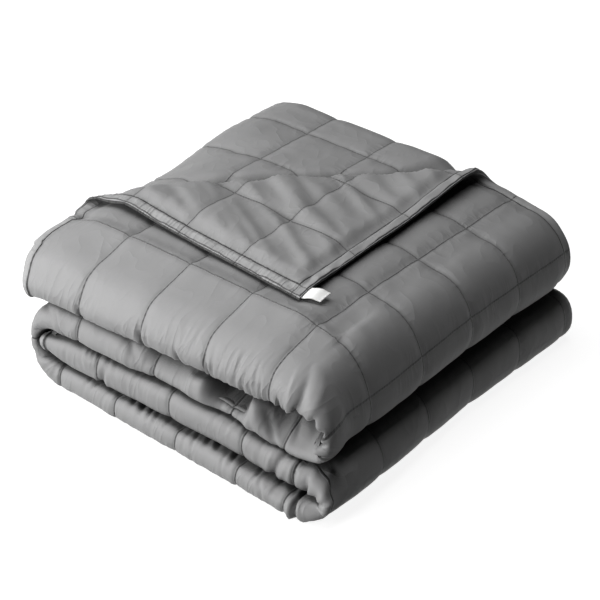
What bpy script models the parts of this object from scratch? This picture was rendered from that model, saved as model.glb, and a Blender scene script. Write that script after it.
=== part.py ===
"""A quilted weighted blanket, folded in thirds and then in four, with one corner turned back.

Metres, +Z up, the origin in the middle of the flat underside.

The quilt is made flat first: a slab with a hem all round, pinched thin along the stitched lines between its
squares. It is then folded twice. The first fold lays its width in three layers: "outer" on the one side,
"lining" on the other, and "middle" between them. They join at a rounded edge at the front (-Y), where the outer
layer wraps down to the lining, and at one at the back (+Y), where the lining turns into the middle layer. The
second fold lays the length back and forth in four strips, which the turns at +X and -X join. Last, the free
corner of the outer layer is rolled over and lies on top.
"""

import math
from collections import namedtuple

import bmesh
import bpy
from mathutils import Vector

# The quilt, spread out flat
SQUARE = 0.100  # pitch of the stitched lines
HEM = 0.015  # width of the turned hem outside the last stitched line
SQUARES_LONG = 20
SQUARES_WIDE = 15
HEM_THICKNESS = 0.007
SEAM_DEPTH = 0.0032  # how far a stitched line draws either face in
CROSSING_DEPTH = 0.0042  # the same where two stitched lines cross
MOST_DRAWN_IN = 0.50  # and never more than this share of the thickness

# The layers of a strip
LAYER_GAP = 0.0015  # least space between two layers
OUTER_FULL = 0.014  # the outer layer is never thicker than this
INNER_FULL = 0.030  # nor are the lining and the middle layer than this
END_THINNING = 0.025  # length over which the layers thin out towards the free ends of the length

# The strips, in the order in which the length runs. x_in and x_out are the ends of the straight run, in the
# direction of travel. bottom and top are heights at the way in, along the run and at the way out. front is the
# outermost y of the front edge at either end of the run. upper and lower are how deep that edge is rounded on the
# outer layer's side and on the lining's. hem is the y of the outer layer's free hem at either end of the run.
# seams are the x of the stitched lines across the strip.
Strip = namedtuple("Strip", "name x_in x_out bottom top front upper lower hem seams")
STRIPS = (
    Strip("top", -0.242, 0.190, (0.1250, 0.1265, 0.1310), (0.1930, 0.2050, 0.1940), (-0.2640, -0.2560),
          0.034, 0.014, (0.230, 0.240), (-0.142, -0.042, 0.058, 0.158)),
    Strip("upper", 0.190, -0.185, (0.0755, 0.0810, 0.0810), (0.1170, 0.1245, 0.1230), (-0.2500, -0.2560),
          0.018, 0.010, (0.247, 0.247), (0.177, 0.093, -0.028, -0.150)),
    Strip("floor", -0.185, 0.218, (0.0, 0.0, 0.0), (0.0330, 0.0330, 0.0330), (-0.2610, -0.2800),
          0.016, 0.008, (0.248, 0.248), (-0.183, -0.085, 0.020, 0.122, 0.200)),
    Strip("inner", 0.218, -0.209, (0.0345, 0.0345, 0.0460), (0.0715, 0.0770, 0.0690), (-0.2610, -0.2590),
          0.018, 0.010, (0.248, 0.248), (0.200, 0.120, 0.002, -0.117)),
)
END_BLEND = 0.060  # length over which a strip's heights change at either end
FLOOR_STRIP = 2  # the strip whose lining lies flat on the ground
STACK_CENTRE = Vector((0.0145, -0.0073, 0.0))  # the middle of the folded stack in these tables' x and y

# The turns between the strips. half is half the thickness at the crown of the turn, and seam is how far round it
# a stitched line runs. swell and sag are how far the crown stands out and hangs at the front.
Turn = namedtuple("Turn", "name reach half seam swell sag")
TURNS = (
    Turn("big right", 0.030, 0.0275, 0.40, 0.000, 0.018),
    Turn("left wrap", 0.043, 0.0085, 0.50, 0.000, 0.000),
    Turn("small right", 0.020, 0.0160, None, 0.017, 0.000),
)
SWELL_FROM = (0.050, -0.200)  # y where swell and sag start and where they are full

# The first fold, seen along the length
BACK_EDGE = 0.2600  # outermost y of the fold between the lining and the middle layer
FIRST_SEAM_Y = -0.167  # y of the first stitched line in from the front edge, on the outer layer
FRONT_CREST = 0.38  # height of the outermost line of the front edge, from the lining's middle to the outer's
FRONT_SEAM_AROUND = 0.92  # where the front stitched line lies on the rounding of the lining's side
FRONT_THINNING = 0.030  # length over which the lining's thickness grows from the front edge
BACK_FOLD_AT = 10.2 * SQUARE + HEM  # distance from the outer hem, over the cloth, to the back fold
BACK_FOLD_ROWS = (-0.009, 0.0, 0.009, 0.024, 0.052)  # lines of points along that fold, from its middle
MIDDLE_STOPS = 1.1  # the middle layer's hem stops short of the front edge by this share of the edge's depth

# The top strip and the big right turn are highest in the middle and fall towards front and back
CROWN_FALL = 0.26
TURN_FALL = 0.13
FRONT_FALL = (-0.130, -0.250)  # y where the fall starts and where it is full
BACK_FALL = (-0.020, 0.260)
BACK_FALL_SHARE = (0.38, 0.05)  # at the two ends of the top strip
FRONT_DROOP = (0.012, 0.006)  # how far the top strip's front edge hangs over the strip below, at its two ends
DROOP_FROM = (-0.2400, -0.2640)  # y where it starts to hang and where it hangs fully

# Under the top strip its free end is drawn in, from the front edge to the back fold
TUCK = 0.018
TUCK_LENGTH = 0.080  # length over which it is drawn in
TUCK_START = (0.430, 0.515)  # distances over the cloth where that starts and is full
TUCK_END = (0.900, 1.000)

# The corner that is turned back: its fold line, in x and y on the top strip
FLAP_LEFT = Vector((-0.242, -0.138))
FLAP_RIGHT = Vector((0.143, 0.250))
ROLL_RADIUS = (0.0065, 0.0110)  # of the bend, to the middle of the cloth, at its left and right ends
ROLL_STEPS = 6
FLAP_CLEARANCE = 0.002  # between the turned corner and the layer that it lies on
FLAP_SETTLES = 0.120  # distance from the bend at which it comes to lie that close
FLAP_STRETCH = 1.12  # the turned corner is drawn out towards its tip, and sideways towards the front
FLAP_SHEAR = 0.070

# Past the fold line the middle layer puffs up into the place that the outer layer has left
PUFF = 0.020
PUFF_FROM = (0.018, 0.050)  # distance past the fold line where it starts to rise and where it is full
PUFF_FROM_END = (0.010, 0.110)  # the same from the free end of the length, and from the fold's left end back
PUFF_FROM_LEFT = (0.000, 0.150)

# Faces to a stretch of cloth
STEPS_SHOWN = 3
STEPS_TURN = 4
STEPS_HIDDEN = 2
STEPS_FRONT = 6

# The blank tag at the hem of the turned corner
LABEL_LENGTH = 0.026  # along the hem
LABEL_WIDTH = 0.024  # out from the hem
LABEL_THICKNESS = 0.0012
LABEL_GAP = 0.0005  # between the tag and the hem
LABEL_CLEARANCE = 0.0008  # between the tag and the cloth below it
LABEL_FROM_TIP = 0.003
LABEL_SKEW = 0.30  # how far the tag leans towards the back for each metre out
LABEL_CELLS = 6

GREY = (0.105, 0.106, 0.110, 1.0)
WHITE = (0.80, 0.80, 0.79, 1.0)

WIDTH = SQUARES_WIDE * SQUARE + 2 * HEM
FIRST_SEAM_AT = 4 * SQUARE + HEM
FRONT_SEAM_AT = 5 * SQUARE + HEM


def smooth(value, start, end):
    """0 at start, 1 at end, with an even change between them."""
    share = min(max((value - start) / (end - start), 0.0), 1.0)
    return share * share * (3.0 - 2.0 * share)


def mix(first, second, share):
    return first + (second - first) * share


def along_strip(values, strip, x):
    """A height of a strip at x, from its values at the way in, along the run and at the way out."""
    from_in = 1.0 - smooth(abs(x - strip.x_in), 0.0, END_BLEND)
    from_out = 1.0 - smooth(abs(x - strip.x_out), 0.0, END_BLEND)
    return values[1] + (values[0] - values[1]) * from_in + (values[2] - values[1]) * from_out


def strip_middle(strip, x):
    """Height of the strip's middle, and half its thickness, at x."""
    bottom = along_strip(strip.bottom, strip, x)
    top = along_strip(strip.top, strip, x)
    return (top + bottom) / 2, (top - bottom) / 2


Place = namedtuple("Place", "x z side_x side_z half front upper lower hem fall free swell sag")


def on_run(index, distance):
    """The middle of a strip, at a distance from its way in."""
    strip = STRIPS[index]
    travel = 1.0 if strip.x_out > strip.x_in else -1.0
    x = strip.x_in + travel * distance
    z, half = strip_middle(strip, x)
    fall = CROWN_FALL if index == 0 else 0.0
    share = distance / abs(strip.x_out - strip.x_in)
    front = mix(*strip.front, share)
    hem = mix(*strip.hem, share)
    free = distance if index == 0 else abs(strip.x_out - x) if strip is STRIPS[-1] else END_THINNING
    return Place(x, z, 0.0, travel, half, front, strip.upper, strip.lower, hem, fall,
                 smooth(free, 0.0, END_THINNING), 0.0, 0.0)


def turn_size(index):
    """Centre, height of the half turn and its length."""
    leaving, entering = STRIPS[index], STRIPS[index + 1]
    z_out, half_out = strip_middle(leaving, leaving.x_out)
    z_in, half_in = strip_middle(entering, entering.x_in)
    rise = (z_in - z_out) / 2
    length = math.pi * (abs(rise) + TURNS[index].reach) / 2
    return leaving.x_out, (z_in + z_out) / 2, rise, half_out, half_in, length


def on_turn(index, distance):
    """The middle of the cloth on a turn, at a distance from where the turn starts."""
    leaving, entering, turn = STRIPS[index], STRIPS[index + 1], TURNS[index]
    x_centre, z_centre, rise, half_out, half_in, length = turn_size(index)
    travel = 1.0 if leaving.x_out > leaving.x_in else -1.0
    share = distance / length
    angle = math.pi * share
    x = x_centre + travel * turn.reach * math.sin(angle)
    z = z_centre - rise * math.cos(angle)
    along = Vector((travel * turn.reach * math.cos(angle), rise * math.sin(angle))).normalized()
    towards_crown = math.sin(angle) ** 2
    half = mix(mix(half_out, half_in, share), turn.half, towards_crown)
    front = mix(leaving.front[1], entering.front[0], share)
    upper = mix(leaving.upper, entering.upper, share)
    lower = mix(leaving.lower, entering.lower, share)
    fall = 0.0
    if index == 0:
        fall = mix(mix(CROWN_FALL, 0.0, smooth(share, 0.0, 1.0)), TURN_FALL, towards_crown)
    hem = mix(leaving.hem[1], entering.hem[0], share)
    return Place(x, z, -along.y, along.x, half, front, upper, lower, hem, fall, 1.0,
                 turn.swell * towards_crown, turn.sag * towards_crown)


def lay_out_length():
    """Stretches of the length in order: (start distance, length, kind, index)."""
    stretches = []
    start = 0.0
    for index, strip in enumerate(STRIPS):
        length = abs(strip.x_out - strip.x_in)
        stretches.append((start, length, on_run, index))
        start += length
        if index < len(TURNS):
            length = turn_size(index)[-1]
            stretches.append((start, length, on_turn, index))
            start += length
    return stretches


LENGTH_STRETCHES = lay_out_length()
LENGTH_END = LENGTH_STRETCHES[-1][0] + LENGTH_STRETCHES[-1][1]


def place_at(distance):
    """The middle of the cloth at a distance along its length, from the free end of the top strip."""
    for start, length, place, index in LENGTH_STRETCHES:
        if distance <= start + length:
            break
    return place(index, min(max(distance - start, 0.0), length))


def on_floor(distance):
    start, length, _, _ = LENGTH_STRETCHES[2 * FLOOR_STRIP]
    return start <= distance <= start + length


def seam_distances():
    """Distances of the stitched lines across the blanket, with the hem's edges as first and last."""
    found = [0.0, HEM]
    for start, length, place, index in LENGTH_STRETCHES:
        if place is on_run:
            strip = STRIPS[index]
            found += [start + abs(x - strip.x_in) for x in strip.seams]
        elif TURNS[index].seam:
            found.append(start + length * TURNS[index].seam)
    found += [LENGTH_END - HEM, LENGTH_END]
    return found


def layer_sizes(place):
    """Thickness of the outer layer and of the other two."""
    outer = min(OUTER_FULL, (2 * place.half - 2 * LAYER_GAP) / 3)
    inner = min(INNER_FULL, (2 * place.half - outer - 2 * LAYER_GAP) / 2)
    return mix(HEM_THICKNESS, outer, place.free), mix(HEM_THICKNESS, inner, place.free)


def quarter_length(a, b):
    """Length of a quarter of an ellipse."""
    return math.pi / 4 * (3 * (a + b) - math.sqrt((3 * a + b) * (a + 3 * b)))


def on_quarter(share, depth, high):
    """A point a share of the way round a quarter of an ellipse, and the direction straight out of it."""
    angle = math.pi / 2 * share
    outward = Vector((math.sin(angle) * high, math.cos(angle) * depth)).normalized()
    return depth * math.sin(angle), high * math.cos(angle), outward


def section(across, place):
    """The first fold: where the cloth's middle lies at a distance across the blanket from the outer hem.

    Gives y, the height over the strip's middle on its outer side, the cloth's outward direction there in
    those two axes, and the layer's full thickness.
    """
    outer, inner = layer_sizes(place)
    outer_at = place.half - outer / 2
    lining_at = -place.half + inner / 2
    middle_at = outer_at - (outer + inner) / 2 - LAYER_GAP
    crest = mix(lining_at, outer_at, FRONT_CREST)
    upper_high, lower_high = outer_at - crest, crest + place.half - outer / 2
    upper_deep = min(place.upper, 1.6 * upper_high)
    lower_deep = min(place.lower, 1.2 * lower_high)
    front = place.front + outer / 2
    upper_quarter = quarter_length(upper_deep, upper_high)
    lower_quarter = quarter_length(lower_deep, lower_high)
    back_radius = (middle_at - lining_at) / 2
    back_start = BACK_EDGE - inner / 2 - back_radius
    half_back = math.pi * back_radius / 2
    outer_run = place.hem - (front + upper_deep)
    lining_run = back_start - (front + lower_deep)
    middle_run = back_start - (front + upper_deep * MIDDLE_STOPS)

    to_front_seam = outer_run + upper_quarter + lower_quarter * FRONT_SEAM_AROUND
    to_back_fold = lower_quarter * (1 - FRONT_SEAM_AROUND) + lining_run + half_back
    to_first_seam = place.hem - FIRST_SEAM_Y
    if across <= FIRST_SEAM_AT:
        run = across / FIRST_SEAM_AT * to_first_seam
    elif across <= FRONT_SEAM_AT:
        run = mix(to_first_seam, to_front_seam, (across - FIRST_SEAM_AT) / SQUARE)
    elif across <= BACK_FOLD_AT:
        run = to_front_seam + (across - FRONT_SEAM_AT) / (BACK_FOLD_AT - FRONT_SEAM_AT) * to_back_fold
    else:
        run = (across - BACK_FOLD_AT) / (WIDTH - BACK_FOLD_AT) * (half_back + middle_run)
        run += to_front_seam + to_back_fold

    if run <= outer_run:
        return place.hem - run, outer_at, 0.0, 1.0, outer
    run -= outer_run
    if run <= upper_quarter:
        out, over, outward = on_quarter(run / upper_quarter, upper_deep, upper_high)
        return front + upper_deep - out, crest + over, -outward.x, outward.y, outer
    run -= upper_quarter
    if run <= lower_quarter:
        out, under, outward = on_quarter(1 - run / lower_quarter, lower_deep, lower_high)
        return front + lower_deep - out, crest - under, -outward.x, -outward.y, outer
    run -= lower_quarter
    if run <= lining_run:
        full = mix(outer, inner, smooth(run, 0.0, FRONT_THINNING))
        return front + lower_deep + run, lining_at - (inner - full) / 2, 0.0, -1.0, full
    run -= lining_run
    if run <= 2 * half_back:
        angle = run / back_radius
        y = back_start + back_radius * math.sin(angle)
        over = lining_at + back_radius * (1 - math.cos(angle))
        return y, over, math.sin(angle), -math.cos(angle), inner
    run -= 2 * half_back
    return back_start - run, middle_at, 0.0, 1.0, inner


def fall_at(y, place):
    """Share of its height that the cloth keeps at y."""
    front = smooth(y, *FRONT_FALL)
    back = smooth(y, *BACK_FALL) * mix(*BACK_FALL_SHARE, smooth(place.x, STRIPS[0].x_in, STRIPS[0].x_out))
    return 1.0 - place.fall * (front + back)


def in_stack(distance, y, over):
    """World position of a point at a distance along, at y, and over the middle on the outer side."""
    place = place_at(distance)
    over = -place.half + (over + place.half) * fall_at(y, place)
    droop = mix(*FRONT_DROOP, smooth(place.x, STRIPS[0].x_in, STRIPS[0].x_out)) * smooth(y, *DROOP_FROM)
    droop *= min(place.fall / CROWN_FALL, 1.0)
    point = Vector((place.x + place.side_x * over, y, place.z + place.side_z * over - droop))
    to_front = smooth(y, *SWELL_FROM)
    point += Vector((place.swell * to_front, 0.0, -place.sag * to_front))
    return point - STACK_CENTRE


def hemmed(distance, across, full):
    """Full thickness of the cloth, which is less towards the hem's edge."""
    edge = min(distance, LENGTH_END - distance, across, WIDTH - across)
    return mix(min(HEM_THICKNESS, full), full, smooth(edge, HEM * 0.6, HEM * 2.5))


def pinch(value, seams):
    """1 between stitched lines, 0 on one."""
    nearest = min(abs(value - seam) for seam in seams)
    return min(nearest / (SQUARE / STEPS_SHOWN / 2), 1.0)


def cloth_half(distance, across, full, length_seams, width_seams):
    """Half the cloth's thickness, thin on the stitched lines and at the hem's edge."""
    along_open = pinch(distance, length_seams)
    across_open = pinch(across, width_seams)
    half = hemmed(distance, across, full) / 2
    drawn_in = min(mix(CROSSING_DEPTH, SEAM_DEPTH, max(along_open, across_open)), MOST_DRAWN_IN * half)
    return half - drawn_in * (1.0 - min(along_open, across_open))


FLAP_ALONG = (FLAP_RIGHT - FLAP_LEFT).normalized()
FLAP_OUT = Vector((-FLAP_ALONG.y, FLAP_ALONG.x))


def past_fold(x, y):
    """How far a point of the top strip lies past the fold line of the turned corner."""
    return (Vector((x, y)) - FLAP_LEFT).dot(FLAP_OUT)


def roll_radius(x, y):
    """Radius of the turned corner's bend where the line straight out from a point meets it."""
    share = (Vector((x, y)) - FLAP_LEFT).dot(FLAP_ALONG) / (FLAP_RIGHT - FLAP_LEFT).length
    return mix(*ROLL_RADIUS, min(max(share, 0.0), 1.0))


def turn_corner(x, y, over, full):
    """Roll a point of the outer layer that lies past the fold line over, back onto the layer."""
    past = past_fold(x, y)
    if past <= 0.0:
        return x, y, over
    on_line = Vector((x, y)) - past * FLAP_OUT
    radius = roll_radius(x, y)
    angle = min(past / radius, math.pi)
    beyond = max(past - math.pi * radius, 0.0)
    settled = 2 * radius - (OUTER_FULL + full) / 2 - FLAP_CLEARANCE
    settled *= smooth(beyond, 0.0, FLAP_SETTLES)
    reach = (radius - over) * math.sin(angle) - beyond * FLAP_STRETCH
    height = radius * (1 - math.cos(angle)) + over * math.cos(angle) - settled
    moved = on_line + reach * FLAP_OUT - beyond * FLAP_SHEAR * FLAP_ALONG
    return moved.x, moved.y, height


def tuck(distance, across):
    """How far the top strip's free end is drawn in along its underside."""
    along = smooth(across, *TUCK_START) * (1.0 - smooth(across, *TUCK_END))
    return TUCK * along * (1.0 - smooth(distance, 0.0, TUCK_LENGTH))


def fold(flat, length_seams, width_seams):
    """World position of a point of the flat quilt: x along, y across, z is 1 on the outer face, else -1."""
    distance, across, face = flat
    place = place_at(distance)
    y, middle, out_y, out_over, full = section(across, place)
    lift = face * cloth_half(distance, across, full, length_seams, width_seams)
    if face > 0.0 and out_over == -1.0 and on_floor(distance):
        lift = full / 2  # flat on the ground
    on_top_strip = distance < STRIPS[0].x_out - STRIPS[0].x_in
    if across <= FRONT_SEAM_AT and out_y == 0.0 and on_top_strip:
        x, y, over = turn_corner(place.x, y, lift, hemmed(distance, across, full))
        distance = x - STRIPS[0].x_in
        below = place_at(distance)
        return in_stack(distance, y, below.half - layer_sizes(below)[0] / 2 + over)
    if on_top_strip:
        risen = smooth(across, BACK_FOLD_AT - SQUARE / 4, BACK_FOLD_AT + SQUARE / 4)
        risen *= max(smooth(distance, *PUFF_FROM_END), smooth(y, *PUFF_FROM_LEFT))
        middle += PUFF * risen * smooth(past_fold(place.x, y), *PUFF_FROM)
    point = in_stack(distance, y + out_y * lift, middle + out_over * lift)
    point.x += tuck(distance, across)
    return point


def grid_lines(seams, steps):
    """Lines between seams, each stretch cut in its number of steps."""
    lines = [seams[0]]
    for start, end, count in zip(seams, seams[1:], steps):
        lines += [mix(start, end, step / count) for step in range(1, count + 1)]
    return lines


def length_steps():
    """Faces to each stretch between the stitched lines across the blanket."""
    shown = [STEPS_SHOWN] * 4
    hidden = [STEPS_HIDDEN] * 3
    turn = [STEPS_TURN] * 2
    return [1] + shown + turn + hidden + turn + hidden + turn + hidden + [STEPS_HIDDEN, 1]


def width_steps():
    """Faces to each stretch between the stitched lines along the blanket."""
    outer = [STEPS_SHOWN] * 4 + [STEPS_FRONT]
    lining = [4, 1, 1, 1, 3]
    middle = [1] + [STEPS_HIDDEN] * 4
    return [1] + outer + lining + middle + [1]


def fabric(name, colour, roughness):
    material = bpy.data.materials.new(name)
    material.use_nodes = True
    shader = material.node_tree.nodes["Principled BSDF"]
    shader.inputs["Base Color"].default_value = colour
    shader.inputs["Roughness"].default_value = roughness
    shader.inputs["Metallic"].default_value = 0.0
    return material


def add_object(name, bm, material):
    mesh = bpy.data.meshes.new(name)
    bmesh.ops.recalc_face_normals(bm, faces=bm.faces)
    bm.to_mesh(mesh)
    bm.free()
    mesh.shade_smooth()
    mesh.set_sharp_from_angle(angle=math.radians(50))
    mesh.materials.append(material)
    made = bpy.data.objects.new(name, mesh)
    bpy.context.scene.collection.objects.link(made)
    return made


def flat_place(point):
    """Where a point of the top strip's outer layer lies on the flat quilt, given its x and y in the stack."""
    strip = STRIPS[0]
    distance = point.x - strip.x_in
    hem = mix(*strip.hem, distance / abs(strip.x_out - strip.x_in))
    return Vector((distance, (hem - point.y) / (hem - FIRST_SEAM_Y) * FIRST_SEAM_AT, 0.0))


def cut_along_roll(bm):
    """Cut the flat quilt along the lines where the turned corner bends."""
    strip_length = STRIPS[0].x_out - STRIPS[0].x_in
    for step in range(ROLL_STEPS + 1):
        start, end = (flat_place(end + math.pi * radius * step / ROLL_STEPS * FLAP_OUT)
                      for end, radius in zip((FLAP_LEFT, FLAP_RIGHT), ROLL_RADIUS))
        along = (end - start).normalized()
        area = [f for f in bm.faces
                if all(v.co.y < FRONT_SEAM_AT and v.co.x < strip_length for v in f.verts)]
        edges = {e for f in area for e in f.edges}
        verts = {v for f in area for v in f.verts}
        bmesh.ops.bisect_plane(bm, geom=list(verts) + list(edges) + area, dist=1e-5,
                               plane_co=start, plane_no=Vector((along.y, -along.x, 0.0)))


def build_blanket():
    length_seams = seam_distances()
    width_seams = [0.0] + [HEM + SQUARE * k for k in range(SQUARES_WIDE + 1)] + [WIDTH]
    length_lines = grid_lines(length_seams, length_steps())
    width_lines = grid_lines(width_seams, width_steps())
    width_lines = sorted(width_lines + [BACK_FOLD_AT + row for row in BACK_FOLD_ROWS])
    bm = bmesh.new()
    cells_long, cells_wide = len(length_lines) - 1, len(width_lines) - 1
    bmesh.ops.create_grid(bm, x_segments=cells_long, y_segments=cells_wide, size=0.5)
    for vert in bm.verts:
        column = round((vert.co.x + 0.5) * cells_long)
        row = round((vert.co.y + 0.5) * cells_wide)
        vert.co = Vector((length_lines[column], width_lines[row], -1.0))
    lower = list(bm.faces)
    upper = bmesh.ops.extrude_face_region(bm, geom=lower, use_keep_orig=True)["geom"]
    for vert in (item for item in upper if isinstance(item, bmesh.types.BMVert)):
        vert.co.z = 1.0
    cut_along_roll(bm)
    stitched_long = length_seams[1:-1]
    stitched_wide = width_seams[1:-1]
    for vert in bm.verts:
        vert.co = fold(vert.co, stitched_long, stitched_wide)
    bmesh.ops.triangulate(bm, faces=bm.faces)
    return add_object("blanket", bm, fabric("quilted_cotton", GREY, 0.55))


def tag_place(along, out, face):
    """World position of a point of the tag: along the hem, out from it, and face 1 on top, else -1."""
    distance = LABEL_FROM_TIP + along
    upper, lower = fold_edge(distance, 1.0), fold_edge(distance, -1.0)
    start = (upper + lower) / 2
    hem_along = (fold_edge(distance + LABEL_LENGTH, 1.0) - upper).normalized()
    hem_out = hem_along.cross(Vector((0.0, 0.0, 1.0))).normalized()
    point = start + hem_out * (LABEL_GAP + out) + hem_along * out * LABEL_SKEW
    on_strip = point + STACK_CENTRE
    below = on_strip.x - STRIPS[0].x_in
    rest = place_at(below).half + LABEL_CLEARANCE + LABEL_THICKNESS / 2
    lying = in_stack(below, on_strip.y, rest)
    point.z = mix(start.z, lying.z, smooth(out, 0.0, LABEL_WIDTH))
    return point + Vector((0.0, 0.0, face * LABEL_THICKNESS / 2))


def fold_edge(distance, face):
    """World position of a point of the outer layer's hem edge, on the outer face or on the inner."""
    return fold(Vector((distance, 0.0, face)), seam_distances()[1:-1], (HEM, HEM + SQUARE))


def build_tag():
    bm = bmesh.new()
    bmesh.ops.create_grid(bm, x_segments=LABEL_CELLS, y_segments=LABEL_CELLS, size=0.5)
    upper = bmesh.ops.extrude_face_region(bm, geom=list(bm.faces), use_keep_orig=True)["geom"]
    for vert in (item for item in upper if isinstance(item, bmesh.types.BMVert)):
        vert.co.z = 1.0
    for vert in bm.verts:
        along, out = (vert.co.x + 0.5) * LABEL_LENGTH, (vert.co.y + 0.5) * LABEL_WIDTH
        vert.co = tag_place(along, out, 1.0 if vert.co.z > 0.5 else -1.0)
    bmesh.ops.triangulate(bm, faces=bm.faces)
    return add_object("label", bm, fabric("white_tape", WHITE, 0.7))


def main():
    for old in list(bpy.data.objects):
        bpy.data.objects.remove(old, do_unlink=True)
    build_blanket()
    build_tag()


main()
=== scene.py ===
"""A grey quilted weighted blanket, folded into a square stack, with one corner turned back.

The quilt is made flat, with its squares, seams and hem, and then folded twice and turned back at one corner.
"""

import logging
import math
from collections.abc import Callable, Mapping, Sequence
from dataclasses import dataclass, field
from enum import Enum
from functools import cached_property, lru_cache
from itertools import product

import bmesh
import bpy
from mathutils import Matrix, Vector, noise


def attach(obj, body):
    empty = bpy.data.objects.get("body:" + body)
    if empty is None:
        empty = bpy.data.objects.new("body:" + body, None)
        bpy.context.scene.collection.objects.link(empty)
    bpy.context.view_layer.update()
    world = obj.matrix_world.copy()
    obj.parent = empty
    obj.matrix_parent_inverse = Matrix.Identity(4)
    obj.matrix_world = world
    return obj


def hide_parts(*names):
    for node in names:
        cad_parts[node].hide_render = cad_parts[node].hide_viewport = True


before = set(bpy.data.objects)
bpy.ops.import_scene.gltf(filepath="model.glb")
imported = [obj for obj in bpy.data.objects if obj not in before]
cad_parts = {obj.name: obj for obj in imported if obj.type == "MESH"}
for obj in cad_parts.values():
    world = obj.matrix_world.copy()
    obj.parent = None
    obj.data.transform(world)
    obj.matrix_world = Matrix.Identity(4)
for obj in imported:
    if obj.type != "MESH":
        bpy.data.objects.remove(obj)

log = logging.getLogger("blanket")

MILLIMETRE = 0.001
SQUARE = 0.100
HEM = 0.015
SQUARES_WIDE = 15
WIDTH = SQUARES_WIDE * SQUARE + 2 * HEM
FIRST_SEAM_AT = 4 * SQUARE + HEM
FRONT_SEAM_AT = 5 * SQUARE + HEM
BACK_FOLD_AT = 10.2 * SQUARE + HEM
STACK_CENTRE = Vector((0.0145, -0.0073, 0.0))

Pair = tuple[float, float]
Triple = tuple[float, float, float]
Colour = tuple[float, float, float, float]


def smooth(value: float, start: float, end: float) -> float:
    """0 at start, 1 at end, with an even change between them."""
    share = min(max((value - start) / (end - start), 0.0), 1.0)
    return share * share * (3.0 - 2.0 * share)


def mix(first: float, second: float, share: float) -> float:
    """The value a share of the way from first to second."""
    return first + (second - first) * share


class Side(Enum):
    """The two faces of the quilt."""

    OUTER = 1.0
    LINING = -1.0


class Light(Enum):
    """The lamps of the studio, by their place round the stack."""

    NEAR = "near"
    OVERHEAD = "overhead"
    SIDE = "side"
    FRONT = "front"


# ---------------------------------------------------------------------------------------------- the fold


@dataclass(frozen=True)
class Strip:
    """One of the four lengths that the quilt's length is folded into.

    x_in and x_out are the ends of the straight run. bottom and top are heights at the way in, along the run and
    at the way out, and front and hem are y of the front edge and of the free hem at either end. crest is how far
    up from the lining the front edge stands out most, and upper and lower are how deep it is rounded on both sides.
    """

    x_in: float
    x_out: float
    bottom: Triple
    top: Triple
    front: Pair
    upper: float
    lower: float
    hem: Pair
    seams: tuple[float, ...]
    crest: float = 0.38
    blend: float = 0.060

    @property
    def travel(self) -> float:
        """1 where the length runs towards +X, else -1."""
        return 1.0 if self.x_out > self.x_in else -1.0

    @property
    def length(self) -> float:
        """Length of the straight run."""
        return abs(self.x_out - self.x_in)

    def height(self, values: Triple, x: float) -> float:
        """A height of the strip at x, from its three values.

        Args:
            values: heights at the way in, along the run and at the way out.
            x: place along the strip.

        Returns:
            The height there.
        """
        from_in = 1.0 - smooth(abs(x - self.x_in), 0.0, self.blend)
        from_out = 1.0 - smooth(abs(x - self.x_out), 0.0, self.blend)
        return values[1] + (values[0] - values[1]) * from_in + (values[2] - values[1]) * from_out

    def middle(self, x: float) -> Pair:
        """Height of the strip's middle, and half its thickness, at x.

        Args:
            x: place along the strip.

        Returns:
            The height and half the thickness.
        """
        bottom = self.height(self.bottom, x)
        top = self.height(self.top, x)
        return (top + bottom) / 2, (top - bottom) / 2


@dataclass(frozen=True)
class Turn:
    """A turn between two strips.

    half is half the thickness at its crown, and seam is how far round it a stitched line runs. swell and sag are
    how far the crown stands out and hangs at the front, and blunt is how much it is drawn in all along. upper, lower
    and crest say how its front edge is rounded.
    """

    reach: float
    half: float
    seam: float | None
    swell: float
    sag: float
    blunt: float
    upper: float
    lower: float
    crest: float


STRIPS = (
    # the top strip
    Strip(-0.242, 0.190, (0.1250, 0.1265, 0.1310), (0.1930, 0.2050, 0.1940), (-0.2640, -0.2560),
          0.034, 0.014, (0.230, 0.240), (-0.142, -0.042, 0.058, 0.158)),
    # the upper strip
    Strip(0.190, -0.185, (0.0755, 0.0810, 0.0810), (0.1170, 0.1245, 0.1230), (-0.2580, -0.2605),
          0.006, 0.018, (0.247, 0.247), (0.177, 0.093, -0.028, -0.150), 0.78),
    # the floor strip
    Strip(-0.185, 0.218, (0.0, 0.0, 0.0), (0.0330, 0.0330, 0.0330), (-0.2610, -0.2800),
          0.007, 0.006, (0.248, 0.248), (-0.183, -0.085, 0.020, 0.122, 0.200)),
    # the inner strip
    Strip(0.218, -0.209, (0.0345, 0.0345, 0.0460), (0.0715, 0.0770, 0.0690), (-0.2610, -0.2590),
          0.007, 0.007, (0.248, 0.248), (0.200, 0.120, 0.002, -0.117)),
)
TURNS = (
    # the big turn on the right
    Turn(0.030, 0.0275, 0.40, 0.000, 0.018, 0.000, 0.034, 0.005, 0.14),
    # the wrap on the left
    Turn(0.043, 0.0085, 0.50, 0.000, 0.000, 0.000, 0.010, 0.010, 0.50),
    # the small turn on the right
    Turn(0.020, 0.0110, None, 0.017, 0.000, 0.004, 0.012, 0.003, 0.10),
)
FLOOR_STRIP = 2


@dataclass(frozen=True)
class Place:
    """A station along the quilt's length, once folded: the middle of the strip or turn there."""

    stretch: int
    x: float
    z: float
    side_x: float
    side_z: float
    half: float
    front: float
    upper: float
    lower: float
    crest: float
    hem: float
    fall: float
    free: float
    swell: float
    sag: float
    blunt: float


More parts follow.
